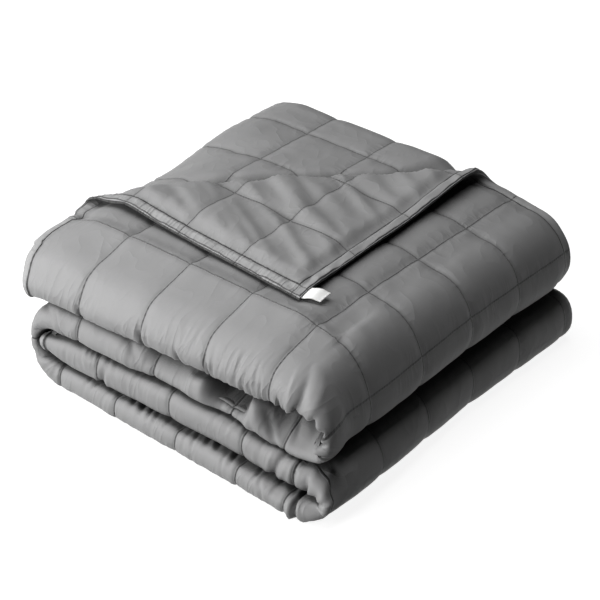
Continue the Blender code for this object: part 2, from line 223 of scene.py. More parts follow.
@dataclass(frozen=True)
class LengthFold:
    """The second fold: the length, laid back and forth in four strips."""

    crown_fall: float = 0.36
    turn_fall: float = 0.18
    end_thinning: float = 0.025

    def turn_size(self, index: int) -> tuple[float, float, float, float, float, float]:
        """Centre, half height, half thickness at either end and length of a turn.

        Args:
            index: which turn.

        Returns:
            x and z of its centre, half its height, its half thickness on leaving and on entering, its length.
        """
        leaving, entering = STRIPS[index], STRIPS[index + 1]
        z_out, half_out = leaving.middle(leaving.x_out)
        z_in, half_in = entering.middle(entering.x_in)
        rise = (z_in - z_out) / 2
        length = math.pi * (abs(rise) + TURNS[index].reach) / 2
        return leaving.x_out, (z_in + z_out) / 2, rise, half_out, half_in, length

    @property
    def stretches(self) -> list[Pair]:
        """Start and length of each run and turn, in order. Even ones are runs.

        Returns:
            The start and length of each.
        """
        found, start = [], 0.0
        for index, strip in enumerate(STRIPS):
            found.append((start, strip.length))
            start += strip.length
            if index < len(TURNS):
                length = self.turn_size(index)[-1]
                found.append((start, length))
                start += length
        return found

    @property
    def end(self) -> float:
        """The quilt's whole length."""
        start, length = self.stretches[-1]
        return start + length

    @property
    def seams(self) -> list[float]:
        """Distances of the stitched lines across the quilt, with the hem's edges as first and last.

        Returns:
            The distances, in order.
        """
        found = [0.0, HEM]
        for number, (start, length) in enumerate(self.stretches):
            strip = STRIPS[number // 2]
            if number % 2 == 0:
                found += [start + abs(x - strip.x_in) for x in strip.seams]
            elif TURNS[number // 2].seam:
                found.append(start + length * TURNS[number // 2].seam)
        return found + [self.end - HEM, self.end]

    def on_run(self, index: int, distance: float) -> Place:
        """The middle of a strip, at a distance from its way in.

        Args:
            index: which strip.
            distance: how far from its way in.

        Returns:
            The station there.
        """
        strip = STRIPS[index]
        x = strip.x_in + strip.travel * distance
        z, half = strip.middle(x)
        share = distance / strip.length
        free = self.end_thinning
        if index == 0:
            free = distance
        elif strip is STRIPS[-1]:
            free = abs(strip.x_out - x)
        return Place(2 * index, x, z, 0.0, strip.travel, half, mix(*strip.front, share), strip.upper,
                     strip.lower, strip.crest, mix(*strip.hem, share), self.crown_fall if index == 0 else 0.0,
                     smooth(free, 0.0, self.end_thinning), 0.0, 0.0, 0.0)

    def on_turn(self, index: int, distance: float) -> Place:
        """The middle of the cloth on a turn, at a distance from where the turn starts.

        Args:
            index: which turn.
            distance: how far from its start.

        Returns:
            The station there.
        """
        leaving, entering, turn = STRIPS[index], STRIPS[index + 1], TURNS[index]
        x_centre, z_centre, rise, half_out, half_in, length = self.turn_size(index)
        share = distance / length
        angle = math.pi * share
        reach = leaving.travel * turn.reach
        along = Vector((reach * math.cos(angle), rise * math.sin(angle))).normalized()
        crown = math.sin(angle) ** 2
        fall = 0.0
        if index == 0:
            fall = mix(self.crown_fall * (1.0 - smooth(share, 0.0, 1.0)), self.turn_fall, crown)
        return Place(2 * index + 1, x_centre + reach * math.sin(angle), z_centre - rise * math.cos(angle),
                     -along.y, along.x, mix(mix(half_out, half_in, share), turn.half, crown),
                     mix(leaving.front[1], entering.front[0], share),
                     mix(mix(leaving.upper, entering.upper, share), turn.upper, crown),
                     mix(mix(leaving.lower, entering.lower, share), turn.lower, crown),
                     mix(mix(leaving.crest, entering.crest, share), turn.crest, crown),
                     mix(leaving.hem[1], entering.hem[0], share),
                     fall, 1.0, turn.swell * crown, turn.sag * crown, turn.blunt * crown)


LENGTH_FOLD = LengthFold()
STRETCHES = LENGTH_FOLD.stretches
LENGTH_END = LENGTH_FOLD.end
LENGTH_SEAMS = LENGTH_FOLD.seams
WIDTH_SEAMS = [0.0] + [HEM + SQUARE * number for number in range(SQUARES_WIDE + 1)] + [WIDTH]


@lru_cache(maxsize=None)
def place_at(distance: float) -> Place:
    """The station at a distance along the quilt, from the free end of the top strip.

    Args:
        distance: place along the quilt.

    Returns:
        The middle of the strip or turn there.
    """
    number = next((n for n, (start, length) in enumerate(STRETCHES) if distance <= start + length),
                  len(STRETCHES) - 1)
    start, length = STRETCHES[number]
    inside = min(max(distance - start, 0.0), length)
    station = LENGTH_FOLD.on_turn if number % 2 else LENGTH_FOLD.on_run
    return station(number // 2, inside)


class Layer(Enum):
    """The parts of the width once it is folded in three."""

    OUTER = "outer"
    FRONT_UPPER = "front upper"
    FRONT_LOWER = "front lower"
    LINING = "lining"
    BACK = "back"
    MIDDLE = "middle"


@dataclass(frozen=True)
class Section:
    """Where the cloth's middle lies in the cross-section of a strip, and which way its outer face looks."""

    layer: Layer
    y: float
    over: float
    out_y: float
    out_over: float
    full: float


@dataclass(frozen=True)
class WidthFold:
    """The first fold: the width in three layers, joined by a rounded front edge and a back fold."""

    gap: float = 0.0015
    outer_full: float = 0.014
    inner_full: float = 0.030
    end_full: float = 0.012
    back_edge: float = 0.2600
    first_seam_y: float = -0.167
    seam_behind: float = 0.006
    thinning: float = 0.030
    middle_stops: float = 1.1
    upper_deepest: float = 1.6
    lower_deepest: float = 1.2

    def layers(self, place: Place) -> Pair:
        """Thickness of the outer layer and of the other two.

        Args:
            place: the station along the length.

        Returns:
            Both thicknesses.
        """
        outer = min(self.outer_full, (2 * place.half - 2 * self.gap) / 3)
        inner = min(self.inner_full, (2 * place.half - outer - 2 * self.gap) / 2)
        return mix(min(self.end_full, outer), outer, place.free), mix(min(self.end_full, inner), inner, place.free)

    @staticmethod
    def quarter(a: float, b: float) -> float:
        """Length of a quarter of an ellipse."""
        return math.pi / 4 * (3 * (a + b) - math.sqrt((3 * a + b) * (a + 3 * b)))

    @staticmethod
    def on_quarter(share: float, depth: float, high: float) -> tuple[float, float, Vector]:
        """A point a share of the way round a quarter of an ellipse, and the direction straight out of it.

        Args:
            share: how far round, from 0 to 1.
            depth: half the width of the ellipse.
            high: half its height.

        Returns:
            The point's two coordinates, and the unit direction.
        """
        angle = math.pi / 2 * share
        outward = Vector((math.sin(angle) * high, math.cos(angle) * depth)).normalized()
        return depth * math.sin(angle), high * math.cos(angle), outward

    def at(self, across: float, place: Place) -> Section:
        """The cross-section at a distance over the cloth from its outer hem.

        Args:
            across: distance over the cloth.
            place: the station along the length.

        Returns:
            The layer, the place in the section, the outward direction and the cloth's full thickness.
        """
        outer, inner = self.layers(place)
        outer_at = place.half - outer / 2
        lining_at = -place.half + inner / 2
        middle_at = outer_at - (outer + inner) / 2 - self.gap
        crest = mix(lining_at, outer_at, place.crest)
        upper_high, lower_high = outer_at - crest, crest + place.half - outer / 2
        upper_deep = min(place.upper, self.upper_deepest * upper_high)
        lower_deep = min(place.lower, self.lower_deepest * lower_high)
        front = place.front + outer / 2
        upper_quarter = self.quarter(upper_deep, upper_high)
        lower_quarter = self.quarter(lower_deep, lower_high)
        radius = (middle_at - lining_at) / 2
        back_start = self.back_edge - inner / 2 - radius
        half_back = math.pi * radius / 2
        outer_run = place.hem - (front + upper_deep)
        lining_run = back_start - (front + lower_deep)
        middle_run = back_start - (front + upper_deep * self.middle_stops)
        to_front_seam = outer_run + upper_quarter + lower_quarter + self.seam_behind
        to_back_fold = lining_run - self.seam_behind + half_back
        to_first_seam = place.hem - self.first_seam_y
        if across <= FIRST_SEAM_AT:
            run = across / FIRST_SEAM_AT * to_first_seam
        elif across <= FRONT_SEAM_AT:
            run = mix(to_first_seam, to_front_seam, (across - FIRST_SEAM_AT) / SQUARE)
        elif across <= BACK_FOLD_AT:
            run = to_front_seam + (across - FRONT_SEAM_AT) / (BACK_FOLD_AT - FRONT_SEAM_AT) * to_back_fold
        else:
            run = (across - BACK_FOLD_AT) / (WIDTH - BACK_FOLD_AT) * (half_back + middle_run)
            run += to_front_seam + to_back_fold
        if run <= outer_run:
            return Section(Layer.OUTER, place.hem - run, outer_at, 0.0, 1.0, outer)
        run -= outer_run
        if run <= upper_quarter:
            out, over, outward = self.on_quarter(run / upper_quarter, upper_deep, upper_high)
            return Section(Layer.FRONT_UPPER, front + upper_deep - out, crest + over, -outward.x, outward.y,
                           outer)
        run -= upper_quarter
        if run <= lower_quarter:
            out, under, outward = self.on_quarter(1 - run / lower_quarter, lower_deep, lower_high)
            return Section(Layer.FRONT_LOWER, front + lower_deep - out, crest - under, -outward.x, -outward.y,
                           outer)
        run -= lower_quarter
        if run <= lining_run:
            full = mix(outer, inner, smooth(run, 0.0, self.thinning))
            return Section(Layer.LINING, front + lower_deep + run, lining_at - (inner - full) / 2, 0.0, -1.0,
                           full)
        run -= lining_run
        if run <= 2 * half_back:
            angle = run / radius
            return Section(Layer.BACK, back_start + radius * math.sin(angle),
                           lining_at + radius * (1 - math.cos(angle)), math.sin(angle), -math.cos(angle),
                           inner)
        run -= 2 * half_back
        return Section(Layer.MIDDLE, back_start - run, middle_at, 0.0, 1.0, inner)


@dataclass(frozen=True)
class TurnedCorner:
    """The corner of the outer layer that is rolled over and lies on top.

    radius is of the bend, at its left and right ends. stretch and shear draw the corner out towards its tip.
    """

    left: Vector = field(default_factory=lambda: Vector((-0.242, -0.138)))
    right: Vector = field(default_factory=lambda: Vector((0.143, 0.250)))
    radius: Pair = (0.0065, 0.0110)
    clearance: float = 0.002
    settles: float = 0.120
    stretch: float = 1.12
    shear: float = 0.070

    @property
    def along(self) -> Vector:
        """Direction of the fold line."""
        return (self.right - self.left).normalized()

    @property
    def out(self) -> Vector:
        """Direction across the fold line, away from the part that stays."""
        return Vector((-self.along.y, self.along.x))

    def past(self, x: float, y: float) -> float:
        """How far a point of the top strip lies past the fold line."""
        return (Vector((x, y)) - self.left).dot(self.out)

    def radius_at(self, x: float, y: float) -> float:
        """Radius of the bend where the line straight out from a point meets it."""
        share = (Vector((x, y)) - self.left).dot(self.along) / (self.right - self.left).length
        return mix(*self.radius, min(max(share, 0.0), 1.0))

    def roll(self, x: float, y: float, over: float, full: float, outer_full: float) -> Triple:
        """Roll a point that lies past the fold line over, back onto the layer.

        Args:
            x: place along the strip.
            y: place across the strip.
            over: height over the middle of the outer layer.
            full: the cloth's thickness there.
            outer_full: the outer layer's thickness elsewhere.

        Returns:
            The point's new x, y and height over the middle of the outer layer.
        """
        past = self.past(x, y)
        if past <= 0.0:
            return x, y, over
        on_line = Vector((x, y)) - past * self.out
        radius = self.radius_at(x, y)
        angle = min(past / radius, math.pi)
        beyond = max(past - math.pi * radius, 0.0)
        settled = (2 * radius - (outer_full + full) / 2 - self.clearance) * smooth(beyond, 0.0, self.settles)
        reach = (radius - over) * math.sin(angle) - beyond * self.stretch
        height = radius * (1 - math.cos(angle)) + over * math.cos(angle) - settled
        moved = on_line + reach * self.out - beyond * self.shear * self.along
        return moved.x, moved.y, height


# ------------------------------------------------------------------------------------------- the surface


# Where a crease fades in and out, as shares of its length, by whether it fades at both ends.
FADES_IN = {True: (-0.10, 0.45), False: (-0.05, 0.60)}
FADES_OUT = {True: (0.55, 1.10), False: (1.00, 1.25)}


@dataclass(frozen=True)
class Crease:
    """A soft trough pressed into the outer face, with the cloth a little proud on both sides of it.

    start and end are places on the flat quilt, along and across. It fades in from its start and is deepest at its
    end, or fades at both ends. bow is how far its middle lies to the side of the straight line. overrun is the
    share of its length that it can run past its ends.
    """

    start: Pair
    end: Pair
    half: float
    depth: float
    bow: float = 0.0
    fades_both: bool = False
    shoulder: float = 0.25
    steepness: float = 1.5
    overrun: float = 0.3

    @cached_property
    def line(self) -> tuple[float, float, float]:
        """Unit direction and length of the straight line from start to end.

        Returns:
            The two parts of the direction, and the length.
        """
        along, across = self.end[0] - self.start[0], self.end[1] - self.start[1]
        length = math.hypot(along, across)
        return along / length, across / length, length

    @property
    def reach(self) -> float:
        """How far from its straight line it can be felt."""
        return 2.0 * self.half + abs(self.bow) + self.overrun * self.line[2]

    def height(self, along: float, across: float) -> float:
        """Height of the surface at a place: less than 0 in the trough, more on its shoulders.

        Args:
            along: place along the quilt.
            across: place across the quilt.

        Returns:
            The height in metres.
        """
        unit_along, unit_across, length = self.line
        from_along, from_across = along - self.start[0], across - self.start[1]
        share = (from_along * unit_along + from_across * unit_across) / length
        bowed = self.bow * 4.0 * share * (1.0 - share) if 0.0 < share < 1.0 else 0.0
        side = abs((unit_along * from_across - unit_across * from_along - bowed) / self.half)
        if side >= 2.0:
            return 0.0
        present = smooth(share, *FADES_IN[self.fades_both]) * (1.0 - smooth(share, *FADES_OUT[self.fades_both]))
        if side < 1.0:
            return -self.depth * present * (1.0 - side) ** self.steepness
        return self.shoulder * self.depth * present * (1.0 - (2.0 * side - 3.0) ** 2) ** 2


TOP_CREASES = (
    Crease((0.094, 0.476), (0.107, 0.507), 0.0038, 0.0043, 0.0015),
    Crease((0.125, 0.488), (0.120, 0.508), 0.0030, 0.0010),
    Crease((0.149, 0.488), (0.159, 0.506), 0.0026, 0.0012),
    Crease((0.154, 0.486), (0.176, 0.506), 0.0026, 0.0014),
    Crease((0.168, 0.485), (0.183, 0.506), 0.0026, 0.0014),
    Crease((0.194, 0.472), (0.206, 0.508), 0.0043, 0.0054, 0.0010),
    Crease((0.207, 0.470), (0.211, 0.496), 0.0036, 0.0024, 0.0, True),
    Crease((0.228, 0.470), (0.246, 0.490), 0.0043, 0.0010, 0.0, True),
    Crease((0.253, 0.478), (0.266, 0.508), 0.0051, 0.0049, 0.0015),
    Crease((0.262, 0.458), (0.266, 0.482), 0.0043, 0.0009, 0.0, True),
    Crease((0.285, 0.455), (0.279, 0.490), 0.0043, 0.0012, 0.0, True),
    Crease((0.296, 0.470), (0.309, 0.508), 0.0038, 0.0047, -0.0030),
    Crease((0.313, 0.466), (0.316, 0.498), 0.0032, 0.0023, 0.0, True),
    Crease((0.328, 0.462), (0.324, 0.490), 0.0032, 0.0014, 0.0, True),
    Crease((0.355, 0.460), (0.349, 0.496), 0.0038, 0.0026, 0.0, True),
    Crease((0.344, 0.462), (0.338, 0.488), 0.0031, 0.0010, 0.0, True),
    Crease((0.339, 0.484), (0.333, 0.508), 0.0031, 0.0013),
    Crease((0.369, 0.460), (0.363, 0.486), 0.0034, 0.0014, 0.0, True),
    Crease((0.366, 0.474), (0.356, 0.508), 0.0031, 0.0036),
    Crease((0.372, 0.478), (0.374, 0.508), 0.0029, 0.0032),
    Crease((0.377, 0.462), (0.382, 0.494), 0.0031, 0.0019, 0.0, True),
    Crease((0.388, 0.468), (0.388, 0.508), 0.0029, 0.0029),
    Crease((0.396, 0.470), (0.394, 0.508), 0.0027, 0.0023),
    Crease((0.413, 0.482), (0.417, 0.510), 0.0038, 0.0061),
    Crease((0.430, 0.448), (0.436, 0.508), 0.0076, 0.0086, -0.0080),
    Crease((0.455, 0.480), (0.462, 0.512), 0.0047, 0.0065, 0.0030),
    Crease((0.478, 0.488), (0.480, 0.514), 0.0031, 0.0050),
    Crease((0.489, 0.478), (0.487, 0.514), 0.0032, 0.0043, 0.0020),
    Crease((0.499, 0.470), (0.500, 0.514), 0.0032, 0.0054, -0.0020),
    Crease((0.510, 0.484), (0.507, 0.514), 0.0031, 0.0036),
)
UPPER_CREASES = (
    Crease((0.803, 0.512), (0.760, 0.478), 0.0102, 0.0036, 0.0, True),
    Crease((0.700, 0.500), (0.640, 0.512), 0.0102, 0.0072, 0.0, True, 0.0),
    Crease((0.612, 0.508), (0.578, 0.474), 0.0068, 0.0026, 0.0, True),
    Crease((0.584, 0.505), (0.545, 0.474), 0.0034, 0.0030, 0.0010, True),
    Crease((0.546, 0.508), (0.530, 0.486), 0.0051, 0.0029, 0.0, True),
    Crease((0.880, 0.470), (0.866, 0.500), 0.0038, 0.0017, 0.0, True),
)
WRAP_CREASES = (
    Crease((0.962, 0.500), (0.950, 0.490), 0.0027, 0.0043, 0.0, True),
    Crease((0.912, 0.500), (0.886, 0.478), 0.0036, 0.0036, 0.0040, True),
    Crease((0.934, 0.512), (0.908, 0.486), 0.0059, 0.0025, 0.0, True),
    Crease((0.985, 0.508), (1.010, 0.490), 0.0051, 0.0036, 0.0, True),
)
FLOOR_CREASES = (
    Crease((1.085, 0.504), (1.092, 0.474), 0.0034, 0.0020),
    Crease((1.092, 0.500), (1.112, 0.474), 0.0031, 0.0026),
    Crease((1.118, 0.502), (1.130, 0.474), 0.0051, 0.0014),
    Crease((1.168, 0.494), (1.159, 0.470), 0.0051, 0.0033),
    Crease((1.186, 0.498), (1.174, 0.468), 0.0055, 0.0042),
    Crease((1.200, 0.502), (1.190, 0.470), 0.0031, 0.0029),
    Crease((1.212, 0.500), (1.200, 0.470), 0.0029, 0.0022),
    Crease((1.228, 0.498), (1.222, 0.472), 0.0043, 0.0012),
    Crease((1.262, 0.504), (1.258, 0.474), 0.0031, 0.0017),
    Crease((1.278, 0.506), (1.268, 0.474), 0.0029, 0.0022),
    Crease((1.293, 0.494), (1.284, 0.470), 0.0041, 0.0026),
    Crease((1.310, 0.492), (1.298, 0.468), 0.0048, 0.0035),
    Crease((1.328, 0.508), (1.321, 0.478), 0.0029, 0.0017, 0.0, True),
    Crease((1.338, 0.498), (1.328, 0.470), 0.0043, 0.0037),
    Crease((1.378, 0.500), (1.371, 0.470), 0.0034, 0.0024),
    Crease((1.398, 0.510), (1.380, 0.486), 0.0038, 0.0020, 0.0, True),
    Crease((1.408, 0.498), (1.399, 0.466), 0.0059, 0.0043, 0.0020),
    Crease((1.450, 0.506), (1.418, 0.478), 0.0068, 0.0043, 0.0, True),
    Crease((1.446, 0.548), (1.435, 0.436), 0.0046, 0.0130),
    Crease((1.466, 0.512), (1.458, 0.498), 0.0034, 0.0036, 0.0, True),
    Crease((1.484, 0.512), (1.478, 0.496), 0.0031, 0.0036, 0.0, True),
)
INNER_CREASES = (
    Crease((1.880, 0.508), (1.886, 0.486), 0.0032, 0.0012, 0.0, True),
    Crease((1.863, 0.510), (1.857, 0.490), 0.0032, 0.0014, 0.0, True),
    Crease((1.849, 0.496), (1.856, 0.520), 0.0029, 0.0017),
    Crease((1.843, 0.494), (1.852, 0.524), 0.0029, 0.0030),
    Crease((1.837, 0.496), (1.846, 0.524), 0.0024, 0.0022),
    Crease((1.822, 0.508), (1.836, 0.482), 0.0049, 0.0061),
    Crease((1.816, 0.492), (1.832, 0.522), 0.0034, 0.0022),
    Crease((1.806, 0.490), (1.817, 0.520), 0.0038, 0.0013),
    Crease((1.716, 0.500), (1.712, 0.524), 0.0034, 0.0013),
    Crease((1.653, 0.494), (1.641, 0.520), 0.0038, 0.0016),
    Crease((1.632, 0.492), (1.621, 0.522), 0.0031, 0.0016),
    Crease((1.573, 0.498), (1.574, 0.522), 0.0031, 0.0013),
    Crease((1.528, 0.520), (1.556, 0.484), 0.0064, 0.0054, 0.0030),
    Crease((1.514, 0.522), (1.522, 0.494), 0.0043, 0.0036),
)


@dataclass(frozen=True)
class Push:
    """A place on the flat quilt where the whole cloth is moved.

    along and across each give where the move starts, is full, is still full and has ended.
    """

    along: tuple[float, float, float, float]
    across: tuple[float, float, float, float]
    move: Triple

    def share(self, along: float, across: float) -> float:
        """How much of the move applies at a place.

        Args:
            along: place along the quilt.
            across: place across the quilt.

        Returns:
            The share, from 0 to 1.
        """
        if not (self.along[0] < along < self.along[3] and self.across[0] < across < self.across[3]):
            return 0.0
        found = smooth(along, *self.along[:2]) * (1.0 - smooth(along, *self.along[2:]))
        return found * smooth(across, *self.across[:2]) * (1.0 - smooth(across, *self.across[2:]))


PUSHES = (
    Push((0.350, 0.430, 0.500, 0.530), (0.496, 0.513, 0.560, 0.640), (0.004, 0.028, 0.008)),
    Push((0.425, 0.470, 0.515, 0.536), (0.440, 0.505, 0.560, 0.660), (0.027, 0.004, 0.003)),
    Push((0.512, 0.526, 0.552, 0.590), (0.474, 0.502, 0.560, 0.640), (0.0, 0.026, -0.004)),
    Push((0.594, 0.616, 0.642, 0.670), (0.474, 0.502, 0.560, 0.640), (0.0, 0.046, -0.012)),
    Push((0.470, 0.510, 0.740, 0.820), (1.340, 1.420, 1.540, 1.600), (0.0, 0.085, 0.0)),
    Push((0.684, 0.712, 0.730, 0.790), (0.470, 0.508, 0.570, 0.660), (0.0, 0.022, -0.002)),
    Push((1.385, 1.420, 1.440, 1.458), (0.410, 0.435, 0.468, 0.505), (-0.002, 0.022, -0.002)),
    Push((-1.000, 0.000, 0.020, 0.090), (0.320, 0.372, 0.385, 0.418), (-0.013, -0.004, 0.0)),
)

# The crumpled rims of the two bundles at the near corner, moved more or less from place to place.
RIM_PITCH = 0.0085
RIM_LENGTH = 4.0 * RIM_PITCH
RIMS = (
    Push((0.415, 0.440, 0.516, 0.530), (0.478, 0.508, 0.525, 0.560), (0.011, 0.009, 0.006)),
    Push((1.450, 1.462, 1.500, 1.512), (0.440, 0.475, 0.510, 0.540), (0.006, 0.007, 0.004)),
)


class CreaseMap:
    """Finds the creases near a place on the flat quilt."""

    def __init__(self, creases: Sequence[Crease], cell: float = 0.020) -> None:
        """Sort the creases into square cells.

        Args:
            creases: all creases.
            cell: side of a cell.
        """
        self.cell = cell
        self.cells: dict[tuple[int, int], list[Crease]] = {}
        for crease in creases:
            columns, rows = (
                range(self.number(min(ends) - crease.reach), self.number(max(ends) + crease.reach) + 1)
                for ends in zip(crease.start, crease.end))
            for key in product(columns, rows):
                self.cells.setdefault(key, []).append(crease)

    def number(self, value: float) -> int:
        """Number of the column or row that a value lies in."""
        return math.floor(value / self.cell)

    def height(self, along: float, across: float) -> float:
        """Height of all creases together at a place."""
        near = self.cells.get((self.number(along), self.number(across)), ())
        return sum(crease.height(along, across) for crease in near)


@dataclass(frozen=True)
class Lift:
    """A place on the flat quilt where the turned corner stands off the layer below."""

    along: float
    across: float
    reach: float
    height: float

    def at(self, along: float, across: float) -> float:
        """Height at a place."""
        return self.height * math.exp(-((along - self.along) ** 2 + (across - self.across) ** 2) / self.reach ** 2)


@dataclass(frozen=True)
class Relief:
    """Squares that puff up between the stitches, creases, and soft wrinkles.

    The last number of each noise call only keeps its pattern apart from the others.
    """

    seam_depth: float = 0.0030
    crossing_depth: float = 0.0040
    most_drawn_in: float = 0.55
    pillow_reach: float = 0.038
    pillow_power: float = 2.2
    pinch_reach: float = 0.010
    pinch_share: float = 0.40
    front_flatter: float = 0.80
    front_groove: float = 0.0022
    front_groove_half: float = 0.0026
    hem_half: float = 0.0034
    hem_stitch_half: Pair = (0.0014, 0.0036)
    hem_rounded: Pair = (-0.02, 0.24)
    hem_flat_until: Pair = (0.80, 1.0)
    hem_risen: float = HEM * 2.2
    beyond_hem: float = HEM * 3
    end_edge_half: float = 0.0003
    hem_lumps: float = 0.0018
    hem_lump_pitches: Pair = (0.013, 0.030)
    hem_edge_half: float = 0.0004
    hem_stitched_across: Pair = (0.380, 0.430)
    fold_sharpness: float = 2.2
    pucker: float = 0.0009
    pucker_pitch: float = 0.014
    pucker_length: float = 0.05
    pucker_reach: float = 0.010
    gather: float = 0.0010
    gather_pitch: float = 0.017
    gather_length: float = 0.07
    gather_slant: float = 0.3
    gather_spacing: float = 0.075
    gather_uneven: Pair = (-0.35, 0.45)
    front_reach: float = 0.030
    ripple: float = 0.0011
    ripple_pitch: Pair = (0.060, 0.045)
    fine_ripple: float = 0.4
    fine_ripple_pitch: float = 0.022
    lining_ripple: float = 0.0075
    lining_slant: Pair = (0.93, 0.36)
    lining_pitch: Pair = (0.030, 0.160)
    lining_fine: float = 0.30
    lining_fine_pitch: Pair = (0.014, 0.070)
    hem_pucker: float = 0.0026
    hem_pucker_reach: Pair = (0.028, 0.020)
    hem_pucker_pitch: Pair = (0.017, 0.022)
    hem_pucker_length: float = 0.08
    side_pucker: float = 0.5
    pressed: float = 0.0035
    pressed_from: Pair = (0.0, 0.020)
    pressed_until: Pair = (0.045, 0.090)
    ridge: float = 0.0045
    ridge_reach: float = 0.010
    creased_within: float = 0.14
    creases: CreaseMap = field(default_factory=lambda: CreaseMap(
        TOP_CREASES + UPPER_CREASES + WRAP_CREASES + FLOOR_CREASES + INNER_CREASES))

    @staticmethod
    def nearest(value: float, seams: Sequence[float]) -> float:
        """Distance to the nearest stitched line."""
        return min(abs(value - seam) for seam in seams)

    @staticmethod
    def edge(distance: float, across: float) -> float:
        """Distance over the cloth to the nearest edge of the quilt."""
        return min(distance, LENGTH_END - distance, across, WIDTH - across)

    def rise(self, away: float) -> float:
        """How far the filling has risen at a distance from a seam, from 0 to 1.

        Args:
            away: distance from the seam.

        Returns:
            The share of the full height.
        """
        close = 1.0 - (1.0 - min(away / self.pinch_reach, 1.0)) ** 2
        wide = 1.0 - (1.0 - min(away / self.pillow_reach, 1.0)) ** self.pillow_power
        return mix(wide, close, self.pinch_share)

    def hem_stitch(self, place: float) -> float:
        """Half the thickness where the hem is stitched: drawn in most on the turned corner."""
        return mix(*self.hem_stitch_half, smooth(place, *self.hem_stitched_across))

    def hem_profile(self, edge: float, place: float) -> float:
        """Half the thickness of the hem: a rounded edge, then a flat lumpy band up to the stitches.

        Args:
            edge: distance from the quilt's edge.
            place: place along the hem, for the lumps.

        Returns:
            Half the thickness.
        """
        share = min(edge / HEM, 1.0)
        rise = math.sqrt(smooth(share, *self.hem_rounded)) * (1.0 - smooth(share, *self.hem_flat_until))
        small, large = self.hem_lump_pitches
        lumps = self.hem_lumps * noise.noise(Vector((place / small, share, 4.4)))
        lumps += self.hem_lumps * noise.noise(Vector((place / large, share, 9.4)))
        return mix(mix(self.hem_edge_half, self.hem_stitch(place), share), self.hem_half + lumps, rise)

    def half(self, distance: float, across: float, full: float, front: float) -> float:
        """Half the cloth's thickness, with its squares and its hem.

        Args:
            distance: place along the quilt.
            across: place across the quilt.
            full: the layer's thickness in the middle of a square.
            front: 1 on the rounded front edge of the fold, where the stitches draw in more, else less.

        Returns:
            Half the thickness there.
        """
        edge = min(across, WIDTH - across, distance if across < FIRST_SEAM_AT else self.beyond_hem)
        if edge <= HEM:
            hem = self.hem_profile(edge, across if edge == distance else distance)
            return min(hem, full / 2)
        end = min(distance, LENGTH_END - distance)
        if end < HEM:
            return full / 2 * math.sqrt(max(1.0 - (1.0 - end / HEM) ** 2, 0.0)) + self.end_edge_half
        from_along = self.nearest(distance, LENGTH_SEAMS[1:-1])
        from_across = self.nearest(across, WIDTH_SEAMS[1:-1])
        along_open, across_open = self.rise(from_along), self.rise(from_across)
        depth = mix(self.crossing_depth, self.seam_depth, max(along_open, across_open))
        depth *= 1.0 - self.front_flatter * front
        depth = min(depth, self.most_drawn_in * full / 2)
        half = full / 2 - depth * (1.0 - min(along_open, across_open))
        half -= front * self.front_groove * max(1.0 - from_along / self.front_groove_half, 0.0)
        return mix(self.hem_stitch(max(distance, across)), half, smooth(edge, HEM, self.hem_risen))

    def folds(self, distance: float, across: float, pitch: float, length: float, seed: float) -> float:
        """Noise from -0.5 to 0.5, sharp in its valleys, drawn out across the quilt's length."""
        value = noise.noise(Vector((distance / pitch, across / length, seed)))
        return min(abs(value) * self.fold_sharpness, 1.0) - 0.5

    def wrinkles(self, distance: float, across: float, layer: Layer, stretch: int) -> float:
        """How far the surface stands proud of its squares, or is drawn in.

        Args:
            distance: place along the quilt.
            across: place across the quilt.
            layer: which layer it is on.
            stretch: which run or turn it is on.

        Returns:
            Height in metres, less than 0 where it is drawn in.
        """
        along_away = self.nearest(distance, LENGTH_SEAMS[1:-1])
        across_away = self.nearest(across, WIDTH_SEAMS[1:-1])
        near_front = math.exp(-abs(across - FRONT_SEAM_AT) / self.front_reach)
        strength = 1.0 + near_front
        height = self.pucker * strength * math.exp(-across_away / self.pucker_reach) * self.folds(
            distance, across, self.pucker_pitch, self.pucker_length, 3.1)
        height += self.pucker * strength * math.exp(-along_away / self.pucker_reach) * self.folds(
            across, distance, self.pucker_pitch, self.pucker_length, 7.7)
        patch = noise.noise(Vector((distance / self.gather_spacing, 2.2, stretch)))
        uneven = smooth(patch, *self.gather_uneven)
        height += self.gather * near_front * uneven * self.folds(
            distance + self.gather_slant * across, across, self.gather_pitch, self.gather_length, 11.3 + stretch)
        if layer is Layer.OUTER and stretch == 0:
            behind = FIRST_SEAM_AT - across
            pressed = smooth(behind, *self.pressed_from) * (1.0 - smooth(behind, *self.pressed_until))
            height += self.ridge * math.exp(-abs(behind) / self.ridge_reach) - self.pressed * pressed
        height += self.ripple * noise.noise(Vector((
            distance / self.ripple_pitch[0], across / self.ripple_pitch[1], 1.5 + stretch)))
        height += self.fine_ripple * self.ripple * noise.noise(Vector((
            distance / self.fine_ripple_pitch, across / self.fine_ripple_pitch, 5.0)))
        if abs(across - FRONT_SEAM_AT) < self.creased_within:
            height += self.creases.height(distance, across)
        return height

